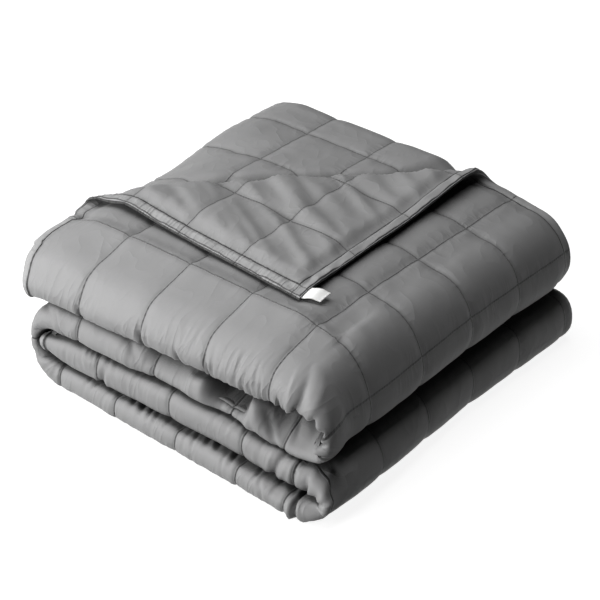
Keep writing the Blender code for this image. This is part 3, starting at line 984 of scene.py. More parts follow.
    def lining_waves(self, distance: float, across: float) -> float:
        """Soft slanting waves on the lining face of the turned corner, with puckers beside its hem.

        Args:
            distance: place along the quilt.
            across: place across the quilt.

        Returns:
            Height in metres.
        """
        ahead, aside = self.lining_slant
        slant, other = ahead * distance - aside * across, aside * distance + ahead * across
        broad, fine = self.lining_pitch, self.lining_fine_pitch
        height = self.lining_ripple * noise.noise(Vector((slant / broad[0], other / broad[1], 8.0)))
        height += self.lining_fine * self.lining_ripple * noise.noise(Vector((slant / fine[0], other / fine[1], 6.0)))
        beside_end = math.exp(-max(distance - HEM, 0.0) / self.hem_pucker_reach[0])
        height += self.hem_pucker * beside_end * self.folds(
            across, distance, self.hem_pucker_pitch[0], self.hem_pucker_length, 2.6)
        beside_side = math.exp(-max(across - HEM, 0.0) / self.hem_pucker_reach[1])
        return height + self.side_pucker * self.hem_pucker * beside_side * self.folds(
            distance, across, self.hem_pucker_pitch[1], self.hem_pucker_length, 5.1)


@dataclass
class Blanket:
    """The quilt: a flat slab of cloth that is folded twice and turned back at one corner."""

    width_fold: WidthFold = field(default_factory=WidthFold)
    corner: TurnedCorner = field(default_factory=TurnedCorner)
    relief: Relief = field(default_factory=Relief)
    steps: int = 5
    cuts: int = 3
    hem_lines: tuple[float, ...] = (0.0, 0.24, 0.55, 1.0)
    front_fall: Pair = (-0.130, -0.290)
    back_fall: Pair = (-0.020, 0.260)
    back_fall_share: Pair = (0.274, 0.036)
    droop: Pair = (0.012, 0.006)
    droop_from: Pair = (-0.2400, -0.2640)
    swell_from: Pair = (0.050, -0.200)
    low_corner: float = 0.010
    low_from: Pair = (0.015, 0.055)
    low_until: Pair = (0.105, 0.165)
    low_from_x: Pair = (0.060, 0.190)
    low_from_y: Pair = (-0.190, -0.262)
    tuck: float = 0.018
    tuck_length: float = 0.080
    tuck_start: Pair = (0.430, 0.515)
    tuck_end: Pair = (0.900, 1.000)
    puff: float = 0.020
    puff_half: float = SQUARE / 4
    puff_from: Pair = (0.018, 0.050)
    notch: Pair = (0.024, 0.120)
    notch_from: Pair = (0.000, 0.090)
    puff_from_end: Pair = (0.010, 0.110)
    puff_from_left: Pair = (0.000, 0.150)
    thinnest: float = 0.0030
    hem_drop: float = 0.0040
    hem_drop_reach: float = HEM * 1.6
    hem_blend: Pair = (HEM * 0.6, HEM * 2.5)
    hem_shows: float = 1.6 * HEM
    lifted_past: Pair = (0.0, 0.05)
    dropped_past: Pair = (0.0, 0.04)
    waves_from_edge: Pair = (0.0, 0.04)
    waves_past: Pair = (0.0, 0.03)
    front_reach: float = 0.045
    floor_proud: float = 0.0012
    full_crease_half: float = 0.004
    end_bend: float = 0.007
    end_bent: Pair = (0.010, 0.024)
    hidden_from: Pair = (0.480, 0.560)
    end_shift: float = 0.015
    end_shifted_over: float = 0.120
    flap_until: Pair = (0.400, 0.440)
    hollowed: Pair = (0.420, 0.780)
    hollowed_across: float = 0.055
    shows_behind: Pair = (0.045, 0.035)
    top_shows_past: Pair = (0.03, -0.02)
    underside_shows: Pair = (0.05, 0.04)
    lifts: tuple[Lift, ...] = (
        Lift(0.000, 0.310, 0.045, 0.0040),
        Lift(0.300, 0.000, 0.080, 0.0060),
        Lift(0.150, 0.000, 0.060, 0.0020),
    )

    def in_stack(self, distance: float, y: float, over: float) -> Vector:
        """World position of a point at a distance along, at y, and over the middle on the outer side.

        Args:
            distance: place along the quilt.
            y: place from front to back.
            over: height over the strip's middle, on the outer side.

        Returns:
            The position.
        """
        place = place_at(distance)
        top = STRIPS[0]
        along_top = smooth(place.x, top.x_in, top.x_out)
        fallen = smooth(y, *self.front_fall) + mix(*self.back_fall_share, along_top) * smooth(y, *self.back_fall)
        over = -place.half + (over + place.half) * (1.0 - place.fall * fallen)
        droop = mix(*self.droop, along_top) * smooth(y, *self.droop_from)
        droop *= min(place.fall / LENGTH_FOLD.crown_fall, 1.0)
        to_front = smooth(y, *self.swell_from)
        point = Vector((place.x + place.side_x * over + place.swell * to_front - place.blunt, y,
                        place.z + place.side_z * over - droop - place.sag * to_front))
        low = smooth(point.z, *self.low_from) * (1.0 - smooth(point.z, *self.low_until))
        point.z -= self.low_corner * low * smooth(point.x, *self.low_from_x) * smooth(y, *self.low_from_y)
        return point - STACK_CENTRE

    def drawn_in(self, distance: float, across: float) -> float:
        """How far the top strip's free end is drawn in along its underside."""
        along = smooth(across, *self.tuck_start) * (1.0 - smooth(across, *self.tuck_end))
        return self.tuck * along * (1.0 - smooth(distance, 0.0, self.tuck_length))

    def lift(self, flat: Vector, section: Section, place: Place) -> float:
        """Distance of a point of either face from the cloth's middle, on the outer side.

        Args:
            flat: the point's place on the flat quilt.
            section: its place in the fold's cross-section.
            place: its station along the length.

        Returns:
            The distance. Where a crease is deeper than the cloth is thick, both faces move.
        """
        distance, across, face = flat
        front = math.exp(-abs(across - FRONT_SEAM_AT) / self.front_reach)
        half = self.relief.half(distance, across, section.full, front)
        raised = self.relief.wrinkles(distance, across, section.layer, place.stretch)
        raised *= min(half / self.full_crease_half, 1.0)
        on_floor = place.stretch == 2 * FLOOR_STRIP and section.layer is Layer.LINING
        if on_floor:
            raised = min(self.floor_proud, section.full / 2 - half)
        if face > 0.0:
            return half + raised
        if section.layer is Layer.OUTER and place.stretch == 0:
            waves = self.relief.lining_waves(distance, across)
            waves *= smooth(self.relief.edge(distance, across), *self.waves_from_edge)
            half += waves * smooth(self.corner.past(place.x, section.y), *self.waves_past)
        return min(-half, half + raised - self.thinnest)

    def fold(self, flat: Vector) -> Vector:
        """World position of a point of the flat quilt: x along, y across, z is 1 on the outer face, else -1.

        Args:
            flat: the point on the flat quilt.

        Returns:
            The position.
        """
        distance, across, _ = flat
        place = place_at(distance)
        section = self.width_fold.at(across, place)
        lift = self.lift(flat, section, place)
        middle = section.over
        on_top = place.stretch == 0
        past = self.corner.past(place.x, section.y)
        if section.layer is Layer.OUTER and on_top:
            edge = self.relief.edge(distance, across)
            full = mix(min(2 * self.relief.hem_half, section.full), section.full, smooth(edge, *self.hem_blend))
            x, y, over = self.corner.roll(place.x, section.y, lift, full, self.width_fold.outer_full)
            over += sum(spot.at(distance, across) for spot in self.lifts) * smooth(past, *self.lifted_past)
            dropped = 1.0 - smooth(distance, 0.0, self.hem_drop_reach)
            over -= self.hem_drop * dropped * smooth(past, *self.dropped_past)
            moved = x - STRIPS[0].x_in
            below = place_at(moved)
            outer = self.width_fold.layers(below)[0]
            turned = smooth(across, *self.flap_until)
            shift, turned_over = self.turned_in(distance, over, self.end_bent[0])
            point = self.in_stack(moved, y, below.half - outer / 2 + mix(over, turned_over, turned))
            point.x += shift * turned
            return self.pushed(point, distance, across)
        if on_top:
            risen = smooth(across, BACK_FOLD_AT - self.puff_half, BACK_FOLD_AT + self.puff_half)
            risen *= max(smooth(distance, *self.puff_from_end), smooth(section.y, *self.puff_from_left))
            along = smooth(place.x, *self.notch_from)
            middle += self.puff * risen * smooth(past, mix(self.puff_from[0], self.notch[0], along),
                                                 mix(self.puff_from[1], self.notch[1], along))
        shift, lift = self.turned_in(distance, lift, mix(*self.end_bent, smooth(across, *self.hidden_from)))
        point = self.in_stack(distance, section.y + section.out_y * lift, middle + section.out_over * lift)
        point.x += self.drawn_in(distance, across) + shift
        return self.pushed(point, distance, across)

    @staticmethod
    def pushed(point: Vector, distance: float, across: float) -> Vector:
        """Move a point by the pushes at its place on the flat quilt.

        Args:
            point: where the folds put it.
            distance: place along the quilt.
            across: place across the quilt.

        Returns:
            The moved point.
        """
        for push in PUSHES:
            point += push.share(distance, across) * Vector(push.move)
        for rim in RIMS:
            share = rim.share(distance, across)
            if share:
                place = Vector((distance / RIM_PITCH, across / RIM_LENGTH, 3.3))
                point += share * noise.noise(place) * Vector(rim.move)
        return point

    def turned_in(self, distance: float, lift: float, end_bent: float) -> Pair:
        """Bend the cloth inwards at a free end of its length, so that its hem is hidden.

        Args:
            distance: place along the quilt.
            lift: height over the cloth's middle, outwards.
            end_bent: length of the cloth that bends.

        Returns:
            How far the point moves in x, and its new height over the middle of the straight cloth.
        """
        from_end = min(distance, LENGTH_END - distance)
        if from_end >= self.end_shifted_over:
            return 0.0, lift
        shift = -self.end_shift * (1.0 - smooth(from_end, end_bent, self.end_shifted_over))
        bent = max(end_bent - from_end, 0.0)
        angle = bent / self.end_bend
        shift += bent - self.end_bend * math.sin(angle) - math.sin(angle) * lift
        return shift, lift * math.cos(angle) - self.end_bend * (1.0 - math.cos(angle))

    @staticmethod
    def lines(seams: Sequence[float], steps: Sequence[int]) -> list[float]:
        """Grid lines between seams, each stretch cut in its number of steps.

        Args:
            seams: places of the seams.
            steps: number of cells between each two seams.

        Returns:
            Places of all the lines.
        """
        found = [seams[0]]
        for start, end, count in zip(seams, seams[1:], steps):
            found += [mix(start, end, step / count) for step in range(1, count + 1)]
        return found

    def shown(self, distance: float, across: float, side: Side) -> bool:
        """Whether a point of the flat quilt shows from outside the folded stack.

        Args:
            distance: place along the quilt.
            across: place across the quilt.
            side: which face of the quilt.

        Returns:
            True where it shows.
        """
        place = place_at(distance)
        section = self.width_fold.at(across, place)
        stretch, layer = place.stretch, section.layer
        top = stretch == 0
        if side is Side.LINING:
            past = self.corner.past(place.x, section.y)
            hollowed = self.hollowed[0] < distance < self.hollowed[1]
            hollowed = hollowed and abs(across - FRONT_SEAM_AT) < self.hollowed_across
            return (hollowed or top and layer is Layer.OUTER and past > 0.0
                    or self.relief.edge(distance, across) < self.hem_shows)
        if layer in (Layer.FRONT_UPPER, Layer.FRONT_LOWER, Layer.BACK):
            return True
        if top:
            if layer is Layer.OUTER:
                return self.corner.past(place.x, section.y) < self.top_shows_past[0]
            if layer is Layer.MIDDLE:
                return self.corner.past(place.x, section.y) > self.top_shows_past[1]
            return abs(across - FRONT_SEAM_AT) < self.underside_shows[0]
        if stretch == 1:
            return layer is Layer.OUTER or abs(across - FRONT_SEAM_AT) < self.underside_shows[1]
        if stretch in (3, 5):
            return layer is Layer.LINING
        near_front = abs(section.y - place.front) < self.shows_behind[0]
        near_back = abs(self.width_fold.back_edge - section.y) < self.shows_behind[1]
        return layer in (Layer.OUTER, Layer.LINING) and (near_front or near_back)

    def creased(self, distance: float, across: float, side: Side) -> bool:
        """Whether a point lies on the rounded front edge, where the cloth is gathered in small folds.

        Args:
            distance: place along the quilt.
            across: place across the quilt.
            side: which face of the quilt.

        Returns:
            True where it is gathered.
        """
        if side is Side.LINING:
            return False
        place = place_at(distance)
        section = self.width_fold.at(across, place)
        if section.layer in (Layer.FRONT_UPPER, Layer.FRONT_LOWER):
            return True
        return section.layer in (Layer.OUTER, Layer.LINING) and abs(section.y - place.front) < self.shows_behind[0]

    def hemmed_lines(self, seams: Sequence[float], steps: int) -> list[float]:
        """Grid lines from hem to hem, with the hems cut at their own lines.

        Args:
            seams: places of the seams, with the quilt's edges as first and last.
            steps: number of cells between two seams.

        Returns:
            Places of all the lines.
        """
        start, end = seams[0], seams[-1]
        inside = self.lines(seams[1:-1], [steps] * (len(seams) - 3))
        hems = [HEM * share for share in self.hem_lines[:-1]]
        return [start + hem for hem in hems] + inside + [end - hem for hem in reversed(hems)]

    def cut(self, bm: bmesh.types.BMesh, chosen: Callable[[float, float, Side], bool], cuts: int) -> None:
        """Cut the faces whose middles are chosen into smaller ones.

        Args:
            bm: the slab of cloth.
            chosen: says of a place and a side whether it is cut.
            cuts: number of cuts along each edge.
        """
        edges: dict[bmesh.types.BMEdge, None] = {}
        for face in bm.faces:
            centre = face.calc_center_median()
            side = Side.OUTER if centre.z > 0.0 else Side.LINING
            if chosen(centre.x, centre.y, side):
                edges.update(dict.fromkeys(face.edges))
        bmesh.ops.subdivide_edges(bm, edges=list(edges), cuts=cuts, use_grid_fill=True)

    def flat_quilt(self) -> bmesh.types.BMesh:
        """The slab of cloth, spread out flat, with finer faces where it will show.

        Returns:
            The slab, with x along, y across, and z 1 on the outer face and -1 on the lining.
        """
        columns = self.hemmed_lines(LENGTH_SEAMS, self.steps)
        rows = self.hemmed_lines(WIDTH_SEAMS, self.steps)
        cells_long, cells_wide = len(columns) - 1, len(rows) - 1
        bm = bmesh.new()
        bmesh.ops.create_grid(bm, x_segments=cells_long, y_segments=cells_wide, size=0.5)
        for vert in bm.verts:
            column = round((vert.co.x + 0.5) * cells_long)
            row = round((vert.co.y + 0.5) * cells_wide)
            vert.co = Vector((columns[column], rows[row], Side.LINING.value))
        upper = bmesh.ops.extrude_face_region(bm, geom=list(bm.faces), use_keep_orig=True)["geom"]
        raised = [item for item in upper if isinstance(item, bmesh.types.BMVert)]
        bmesh.ops.translate(bm, verts=raised, vec=(0.0, 0.0, 2.0))
        self.cut(bm, self.shown, self.cuts)
        self.cut(bm, self.creased, 1)
        return bm

    def build(self) -> bpy.types.Object:
        """Make the quilt flat, note where each point lies on it, and fold it.

        Returns:
            The finished piece.
        """
        bm = self.flat_quilt()
        flat = bm.verts.layers.float_vector.new("flat")
        away = bm.verts.layers.float_vector.new("away")
        for vert in bm.verts:
            distance, across, side = vert.co
            vert[flat] = vert.co
            vert[away] = (self.relief.nearest(distance, LENGTH_SEAMS[1:-1]),
                          self.relief.nearest(across, WIDTH_SEAMS[1:-1]), self.relief.edge(distance, across))
        for vert in bm.verts:
            vert.co = self.fold(vert.co)
        bmesh.ops.recalc_face_normals(bm, faces=bm.faces)
        piece = Maker.finished("quilted_blanket", bm)
        piece.data.materials.append(QuiltFinish().build())
        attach(piece, "root")
        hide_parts("blanket")
        return piece


@dataclass
class Tag:
    """The blank white tape, folded double, that is sewn in at the turned corner."""

    blanket: Blanket
    length: float = 0.018
    width: float = 0.023
    thickness: float = 0.0005
    layers_apart: float = 0.0007
    gap: float = 0.0006
    clearance: float = 0.0010
    from_tip: float = 0.003
    skew: float = 0.36
    lies: float = 0.45
    curl: float = 0.0022
    cells_along: int = 16
    cells_out: int = 48

    def hem_edge(self, distance: float) -> Vector:
        """Middle of the hem's edge at a distance from the tip.

        Args:
            distance: how far from the tip.

        Returns:
            The point.
        """
        upper = self.blanket.fold(Vector((distance, 0.0, 1.0)))
        lower = self.blanket.fold(Vector((distance, 0.0, -1.0)))
        return (upper + lower) / 2

    def spot(self, along: float, out: float, over: float) -> Vector:
        """World position of a point of the tag.

        Args:
            along: place along the hem.
            out: distance out from the hem.
            over: height over the tag's middle.

        Returns:
            The point.
        """
        distance = self.from_tip + along
        start = self.hem_edge(distance)
        hem_along = (self.hem_edge(self.from_tip + self.length) - self.hem_edge(self.from_tip)).normalized()
        hem_out = hem_along.cross(Vector((0.0, 0.0, 1.0))).normalized()
        point = start + hem_out * (self.gap + out) + hem_along * out * self.skew
        on_strip = point + STACK_CENTRE
        below = on_strip.x - STRIPS[0].x_in
        rest = place_at(below).half + self.clearance + self.layers_apart
        lying = self.blanket.in_stack(below, on_strip.y, rest)
        curl = self.curl * math.sin(math.pi * min(out / self.width, 1.0)) ** 2
        point.z = mix(start.z, lying.z, smooth(out, 0.0, self.width) * self.lies) + curl + over
        return point

    def build(self) -> bpy.types.Object:
        """Fold the tape double over its outer end, and lay it at the corner.

        Returns:
            The finished piece.
        """
        bm = bmesh.new()
        bmesh.ops.create_grid(bm, x_segments=self.cells_along, y_segments=self.cells_out, size=0.5)
        upper = bmesh.ops.extrude_face_region(bm, geom=list(bm.faces), use_keep_orig=True)["geom"]
        raised = [item for item in upper if isinstance(item, bmesh.types.BMVert)]
        bmesh.ops.translate(bm, verts=raised, vec=(0.0, 0.0, 1.0))
        flat = bm.verts.layers.float_vector.new("flat")
        radius = self.layers_apart / 2
        straight = self.width - radius
        total = 2 * straight + math.pi * radius
        for vert in bm.verts:
            along, run = (vert.co.x + 0.5) * self.length, (vert.co.y + 0.5) * total
            out_of = (vert.co.z - 0.5) * self.thickness
            vert[flat] = (along, run, vert.co.z)
            if run <= straight:
                out, over = run, radius + out_of
            elif run >= total - straight:
                out, over = total - run, -radius - out_of
            else:
                angle = (run - straight) / radius
                out = straight + (radius + out_of) * math.sin(angle)
                over = (radius + out_of) * math.cos(angle)
            vert.co = self.spot(along, out, over)
        bmesh.ops.recalc_face_normals(bm, faces=bm.faces)
        piece = Maker.finished("blank_tag", bm)
        piece.data.materials.append(TapeFinish().build())
        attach(piece, "root")
        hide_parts("label")
        return piece


class Maker:
    """Turns a finished bmesh into an object of the scene."""

    @staticmethod
    def finished(name: str, bm: bmesh.types.BMesh) -> bpy.types.Object:
        """Write a bmesh to a new smooth-shaded object and free it.

        Args:
            name: the piece's name.
            bm: its shape.

        Returns:
            The new object, linked to the scene.
        """
        mesh = bpy.data.meshes.new(name)
        bm.to_mesh(mesh)
        bm.free()
        mesh.shade_smooth()
        piece = bpy.data.objects.new(name, mesh)
        bpy.context.scene.collection.objects.link(piece)
        log.info("%s: %d faces", name, len(mesh.polygons))
        return piece


# ------------------------------------------------------------------------------------------- materials


class Wire:
    """A socket in a material, with the arithmetic that joins it to others."""

    def __init__(self, bench: "Bench", socket: bpy.types.NodeSocket) -> None:
        """Keep the socket and the bench that it belongs to."""
        self.bench = bench
        self.socket = socket

    def __add__(self, other: "Wire | float") -> "Wire":
        """Sum."""
        return self.bench.maths("ADD", self, other)

    def __sub__(self, other: "Wire | float") -> "Wire":
        """Difference."""
        return self.bench.maths("SUBTRACT", self, other)

    def __rsub__(self, other: float) -> "Wire":
        """Difference from a number."""
        return self.bench.maths("SUBTRACT", other, self)

    def __mul__(self, other: "Wire | float") -> "Wire":
        """Product."""
        return self.bench.maths("MULTIPLY", self, other)

    def __truediv__(self, other: "Wire | float") -> "Wire":
        """Quotient."""
        return self.bench.maths("DIVIDE", self, other)

    def waves(self, pitch: float) -> "Wire":
        """Sine with the given pitch, in metres."""
        return self.bench.maths("SINE", self * (2.0 * math.pi / pitch))

    def fades(self, start: float, end: float) -> "Wire":
        """1 up to start, 0 from end on, with an even change between them."""
        return self.bench.ranged(self, start, end, 1.0, 0.0)


class Bench:
    """Builds the node tree of one material.

    hollow_samples is how many rays each point sends out to find how open it is, for the shade painted into its
    hollows. valley_height and valley_power shape the small folds.
    """

    hollow_samples: int = 8
    valley_height: float = 3.0
    valley_power: float = 0.6

    def __init__(self, name: str) -> None:
        """Start a material with its Principled shader.

        Args:
            name: the material's name.
        """
        self.material = bpy.data.materials.new(name)
        self.material.use_nodes = True
        self.tree = self.material.node_tree
        self.shader = self.tree.nodes["Principled BSDF"]

    def node(self, kind: str, settings: Mapping[str, object], sockets: Mapping[object, object]) -> bpy.types.Node:
        """Add a node.

        Args:
            kind: the node's type.
            settings: its own settings, which are set first.
            sockets: values or wires for its inputs, by name or number.

        Returns:
            The new node.
        """
        made = self.tree.nodes.new(kind)
        for name, value in settings.items():
            setattr(made, name, value)
        for key, value in sockets.items():
            self.feed(made.inputs[key], value)
        return made

    def feed(self, socket: bpy.types.NodeSocket, value: object) -> None:
        """Link a wire to an input, or set the input's value.

        Args:
            socket: the input.
            value: a wire, or what the input is set to.
        """
        if isinstance(value, Wire):
            self.tree.links.new(value.socket, socket)
        else:
            socket.default_value = value

    def maths(self, operation: str, *values: "Wire | float") -> Wire:
        """One Math node on its values."""
        made = self.node("ShaderNodeMath", {"operation": operation}, dict(enumerate(values)))
        return Wire(self, made.outputs[0])

    def ranged(self, value: Wire, low: float, high: float, to_low: float, to_high: float) -> Wire:
        """A value mapped smoothly from one range to another.

        Args:
            value: what is mapped.
            low: start of its range.
            high: end of its range.
            to_low: what the start becomes.
            to_high: what the end becomes.

        Returns:
            The mapped value.
        """
        made = self.node("ShaderNodeMapRange", {"interpolation_type": "SMOOTHSTEP"},
                         {0: value, 1: low, 2: high, 3: to_low, 4: to_high})
        return Wire(self, made.outputs[0])

    def attribute(self, name: str) -> tuple[Wire, Wire, Wire, Wire]:
        """A mesh attribute: its three numbers, and the vector itself.

        Args:
            name: which attribute.

        Returns:
            The three numbers, and the vector.
        """
        made = self.node("ShaderNodeAttribute", {"attribute_name": name}, {})
        vector = Wire(self, made.outputs["Vector"])
        split = self.node("ShaderNodeSeparateXYZ", {}, {0: vector})
        first, second, third = (Wire(self, output) for output in split.outputs)
        return first, second, third, vector

    def clouds(self, vector: Wire, pitch: float, detail: float = 2.0) -> Wire:
        """Soft noise of the given pitch, from 0 to 1."""
        made = self.node("ShaderNodeTexNoise", {}, {"Vector": vector, "Scale": 1.0 / pitch, "Detail": detail})
        return Wire(self, made.outputs[0])

    def hollow(self, reach: float) -> Wire:
        """How open the piece's own surface is round a point, which sets how dark the shade painted into its hollows
        is.

        Args:
            reach: how far the surface round it is looked at.

        Returns:
            1 in the open, 0 deep between folds.
        """
        settings = {"samples": self.hollow_samples, "only_local": True}
        made = self.node("ShaderNodeAmbientOcclusion", settings, {"Distance": reach})
        return Wire(self, made.outputs["AO"])

    def creased(self, along: Wire, across: Wire, pitch: float, length: float) -> Wire:
        """Small folds with sharp valleys, from 0 to about 1, drawn out in the second direction.

        Args:
            along: place in the first direction.
            across: place in the second direction.
            pitch: distance between folds.
            length: how long they are.

        Returns:
            The height of the folds.
        """
        vector = self.node("ShaderNodeCombineXYZ", {}, {0: along * (1.0 / pitch), 1: across * (1.0 / length)})
        made = self.clouds(Wire(self, vector.outputs[0]), 1.0, 1.0)
        return self.maths("POWER", self.maths("ABSOLUTE", made - 0.5) * self.valley_height, self.valley_power)

    def blend(self, factor: "Wire | float", first: object, second: object) -> Wire:
        """Mix of two colours."""
        made = self.node("ShaderNodeMix", {"data_type": "RGBA"}, {0: factor, 6: first, 7: second})
        return Wire(self, made.outputs[2])

    def bump(self, height: Wire, distance: float, strength: float) -> Wire:
        """Normal of a relief whose height of 1 stands for a distance."""
        made = self.node("ShaderNodeBump", {}, {"Height": height, "Distance": distance, "Strength": strength})
        return Wire(self, made.outputs[0])

    def dress(self, sockets: Mapping[str, object]) -> bpy.types.Material:
        """Feed the Principled shader and give the material.

        Args:
            sockets: values or wires, by the name of the input.

        Returns:
            The finished material.
        """
        for name, value in sockets.items():
            self.feed(self.shader.inputs[name], value)
        return self.material


@dataclass(frozen=True)
class QuiltFinish:
    """Fine grey cotton with a soft sheen, small wrinkles along its seams and a darker thread in them. Shade is
    painted into its crevices and beside its seams, the thread on the rounded front edge carries painted shade, and
    the hem band is painted lighter as painted light.

    A pair called reach or edge gives where something is full and where it has faded. A pair called pitch gives the
    distance between small folds and their length. dash maps the stitches' waves to how dark the thread is.
    """

    light: Colour = (0.228, 0.228, 0.229, 1.0)
    dark: Colour = (0.197, 0.197, 0.198, 1.0)
    # Painted light: a lighter grey for the hem band, as light catching it.
    hem: Colour = (0.300, 0.300, 0.301, 1.0)
    # Near black: the colour of the dark thread and hem lines, and what the painted shade beside seams, in crevices
    # and on the front-edge thread darkens towards.
    seam: Colour = (0.020, 0.020, 0.020, 1.0)
    thread_half: float = 0.0006
    # Painted shade: the thread on the rounded front edge is drawn wider and unbroken, as shade in the deep seam
    # grooves there.
    front_shaded_thread_half: float = 0.0010
    stitch_pitch: float = 0.0046
    stitch_reach: Pair = (0.0, 0.002)
    stitch_depth: float = 0.7
    dash: tuple[float, float, float, float] = (-0.4, 0.3, 0.30, 1.0)
    thread_edge: Pair = (0.5, 1.7)
    thread_shade: float = 0.70
    front_thread_shade: float = 0.26
    front_reach: Pair = (0.030, 0.080)
    front_shaded_solid: float = 0.9
    mottle_pitch: Pair = (0.05, 0.004)
    mottle_share: Pair = (0.6, 0.4)
    mottle_detail: float = 3.0
    hem_line_at: float = 0.0022
    hem_line_edge: Pair = (0.0003, 0.0010)
    hem_line_depth: float = 0.5
    hem_sewn_edge: Pair = (0.0004, 0.0013)
    hem_shade: float = 0.85
    hem_shade_less: float = 0.75
    hem_until: Pair = (HEM * 0.9, HEM * 1.1)
    hem_painted_light: float = 0.5
    hem_depth: float = 1.3
    hem_pitch: Pair = (0.010, 0.060)
    hem_gathered_until: Pair = (HEM * 0.9, HEM * 1.3)
    seam_reach: Pair = (0.0, 0.006)
    seam_shade: float = 0.14
    wrinkle_reach: Pair = (0.0, 0.020)
    wrinkle_depth: float = 0.8
    wrinkle_pitch: Pair = (0.011, 0.040)
    wrinkle_patch: float = 0.035
    wrinkle_patch_edge: Pair = (0.38, 0.58)
    gather_depth: float = 1.0
    gather_pitch: Pair = (0.012, 0.040)
    gather_slant: float = 0.3
    gather_patch: float = 0.050
    gather_patch_edge: Pair = (0.40, 0.60)
    crumple_depth: float = 0.6
    crumple_pitch: Pair = (0.030, 0.034)
    weave_pitch: float = 0.0016
    weave_depth: float = 0.03
    rough: float = 0.54
    rough_varies: float = 0.08
    sheen: float = 0.15
    sheen_rough: float = 0.4
    specular: float = 0.32
    # Painted shade: the cloth darkens towards the seam colour where its own surface closes round it, in crevices and
    # deep folds.
    hollow_reach: float = 0.045
    hollow_full: float = 0.38
    hollow_none: float = 0.90
    hollow_shade: float = 0.88

    def build(self) -> bpy.types.Material:
        """Make the material, laid out on the flat quilt. Heights are in millimetres.

        Returns:
            The material.
        """
        bench = Bench("quilt_cloth")
        along, across, _, flat = bench.attribute("flat")
        seam_along, seam_across, edge, _ = bench.attribute("away")
        broad = bench.clouds(flat, self.mottle_pitch[0]) * self.mottle_share[0]
        fine = bench.clouds(flat, self.mottle_pitch[1], self.mottle_detail) * self.mottle_share[1]
        mottle = broad + fine
        lines = bench.maths("MINIMUM", seam_along, seam_across)
        front = bench.maths("ABSOLUTE", across - FRONT_SEAM_AT).fades(*self.front_reach)
        # The thread itself is dark; on the rounded front edge it is drawn wider, unbroken and darker, which is
        # painted shade in the deep seam grooves there.
        width = front * (self.front_shaded_thread_half - self.thread_half) + self.thread_half
        thread = (lines / width).fades(*self.thread_edge)
        running = bench.maths("MAXIMUM", seam_along.fades(*self.stitch_reach) * across.waves(self.stitch_pitch),
                              seam_across.fades(*self.stitch_reach) * along.waves(self.stitch_pitch))
        dash = bench.ranged(running, *self.dash)
        stitched = thread * bench.maths("MAXIMUM", dash, front * self.front_shaded_solid)
        piped = bench.maths("ABSOLUTE", edge - self.hem_line_at).fades(*self.hem_line_edge)
        by_hem = edge.fades(*self.hem_until)
        # Painted light: the hem band is blended towards the lighter hem colour.
        cloth = bench.blend(by_hem * self.hem_painted_light, bench.blend(mottle, self.dark, self.light), self.hem)
        shaded = bench.blend(lines.fades(*self.seam_reach) * self.seam_shade, cloth, self.seam)
        threaded = bench.blend(stitched * (front * self.front_thread_shade + self.thread_shade), shaded, self.seam)
        # Painted shade: deep between folds and in crevices, the cloth is darkened towards the seam colour.
        hollow = bench.hollow(self.hollow_reach).fades(self.hollow_full, self.hollow_none)
        sewn = bench.maths("ABSOLUTE", edge - HEM).fades(*self.hem_sewn_edge)
        bordered = bench.maths("MAXIMUM", piped, sewn) * (self.hem_shade - front * self.hem_shade_less)
        # The hem lines and the painted crevice shade darken the cloth towards the seam colour.
        colour = bench.blend(bench.maths("MAXIMUM", bordered, hollow * self.hollow_shade), threaded, self.seam)
        uneven = bench.clouds(flat, self.wrinkle_patch).fades(*self.wrinkle_patch_edge)
        relief = bench.creased(along, across, *self.wrinkle_pitch) * seam_across.fades(*self.wrinkle_reach) * uneven
        relief = relief + bench.creased(across, along, *self.wrinkle_pitch) * seam_along.fades(
            *self.wrinkle_reach) * uneven
        relief = relief * self.wrinkle_depth * (1.0 - by_hem)
        gathered = bench.clouds(flat, self.gather_patch).fades(*self.gather_patch_edge) * front
        slanted = bench.creased(along + across * self.gather_slant, across, *self.gather_pitch)
        relief = relief + slanted * gathered * self.gather_depth
        relief = relief + bench.creased(along, across, *self.crumple_pitch) * self.crumple_depth
        hemmed = bench.creased(across, edge, *self.hem_pitch) * along.fades(*self.hem_gathered_until)
        relief = relief + hemmed * self.hem_depth - piped * self.hem_line_depth
        relief = relief + bench.clouds(flat, self.weave_pitch) * self.weave_depth - stitched * self.stitch_depth
        rough = mottle * self.rough_varies + self.rough
        return bench.dress({"Base Color": colour, "Roughness": rough, "Normal": bench.bump(relief, MILLIMETRE, 1.0),
                            "Sheen Weight": self.sheen, "Sheen Roughness": self.sheen_rough,
                            "Specular IOR Level": self.specular})


@dataclass(frozen=True)
class TapeFinish:
    """White woven tape with fine ribs across."""

    white: Colour = (0.86, 0.86, 0.85, 1.0)
    shade: Colour = (0.74, 0.74, 0.73, 1.0)
    rib_pitch: float = 0.0009
    fine_rib_share: float = 0.5
    rib_heights: Pair = (0.5, 0.3)
    rib_shade: float = 0.2
    rib_depth: float = 0.00008
    rib_bump: float = 0.6
    cloud_pitch: float = 0.004
    cloud_shade: float = 0.5
    rough: float = 0.6
    sheen: float = 0.2

    def build(self) -> bpy.types.Material:
        """Make the material, laid out on the tape.

        Returns:
            The material.
        """
        bench = Bench("label_tape")
        along, run, _, flat = bench.attribute("flat")
        ribs = run.waves(self.rib_pitch) * self.rib_heights[0] + along.waves(
            self.rib_pitch * self.fine_rib_share) * self.rib_heights[1]
        shade = bench.clouds(flat, self.cloud_pitch) * self.cloud_shade + ribs * self.rib_shade
        colour = bench.blend(shade, self.white, self.shade)
        return bench.dress({"Base Color": colour, "Roughness": self.rough,
                            "Normal": bench.bump(ribs, self.rib_depth, self.rib_bump), "Sheen Weight": self.sheen})


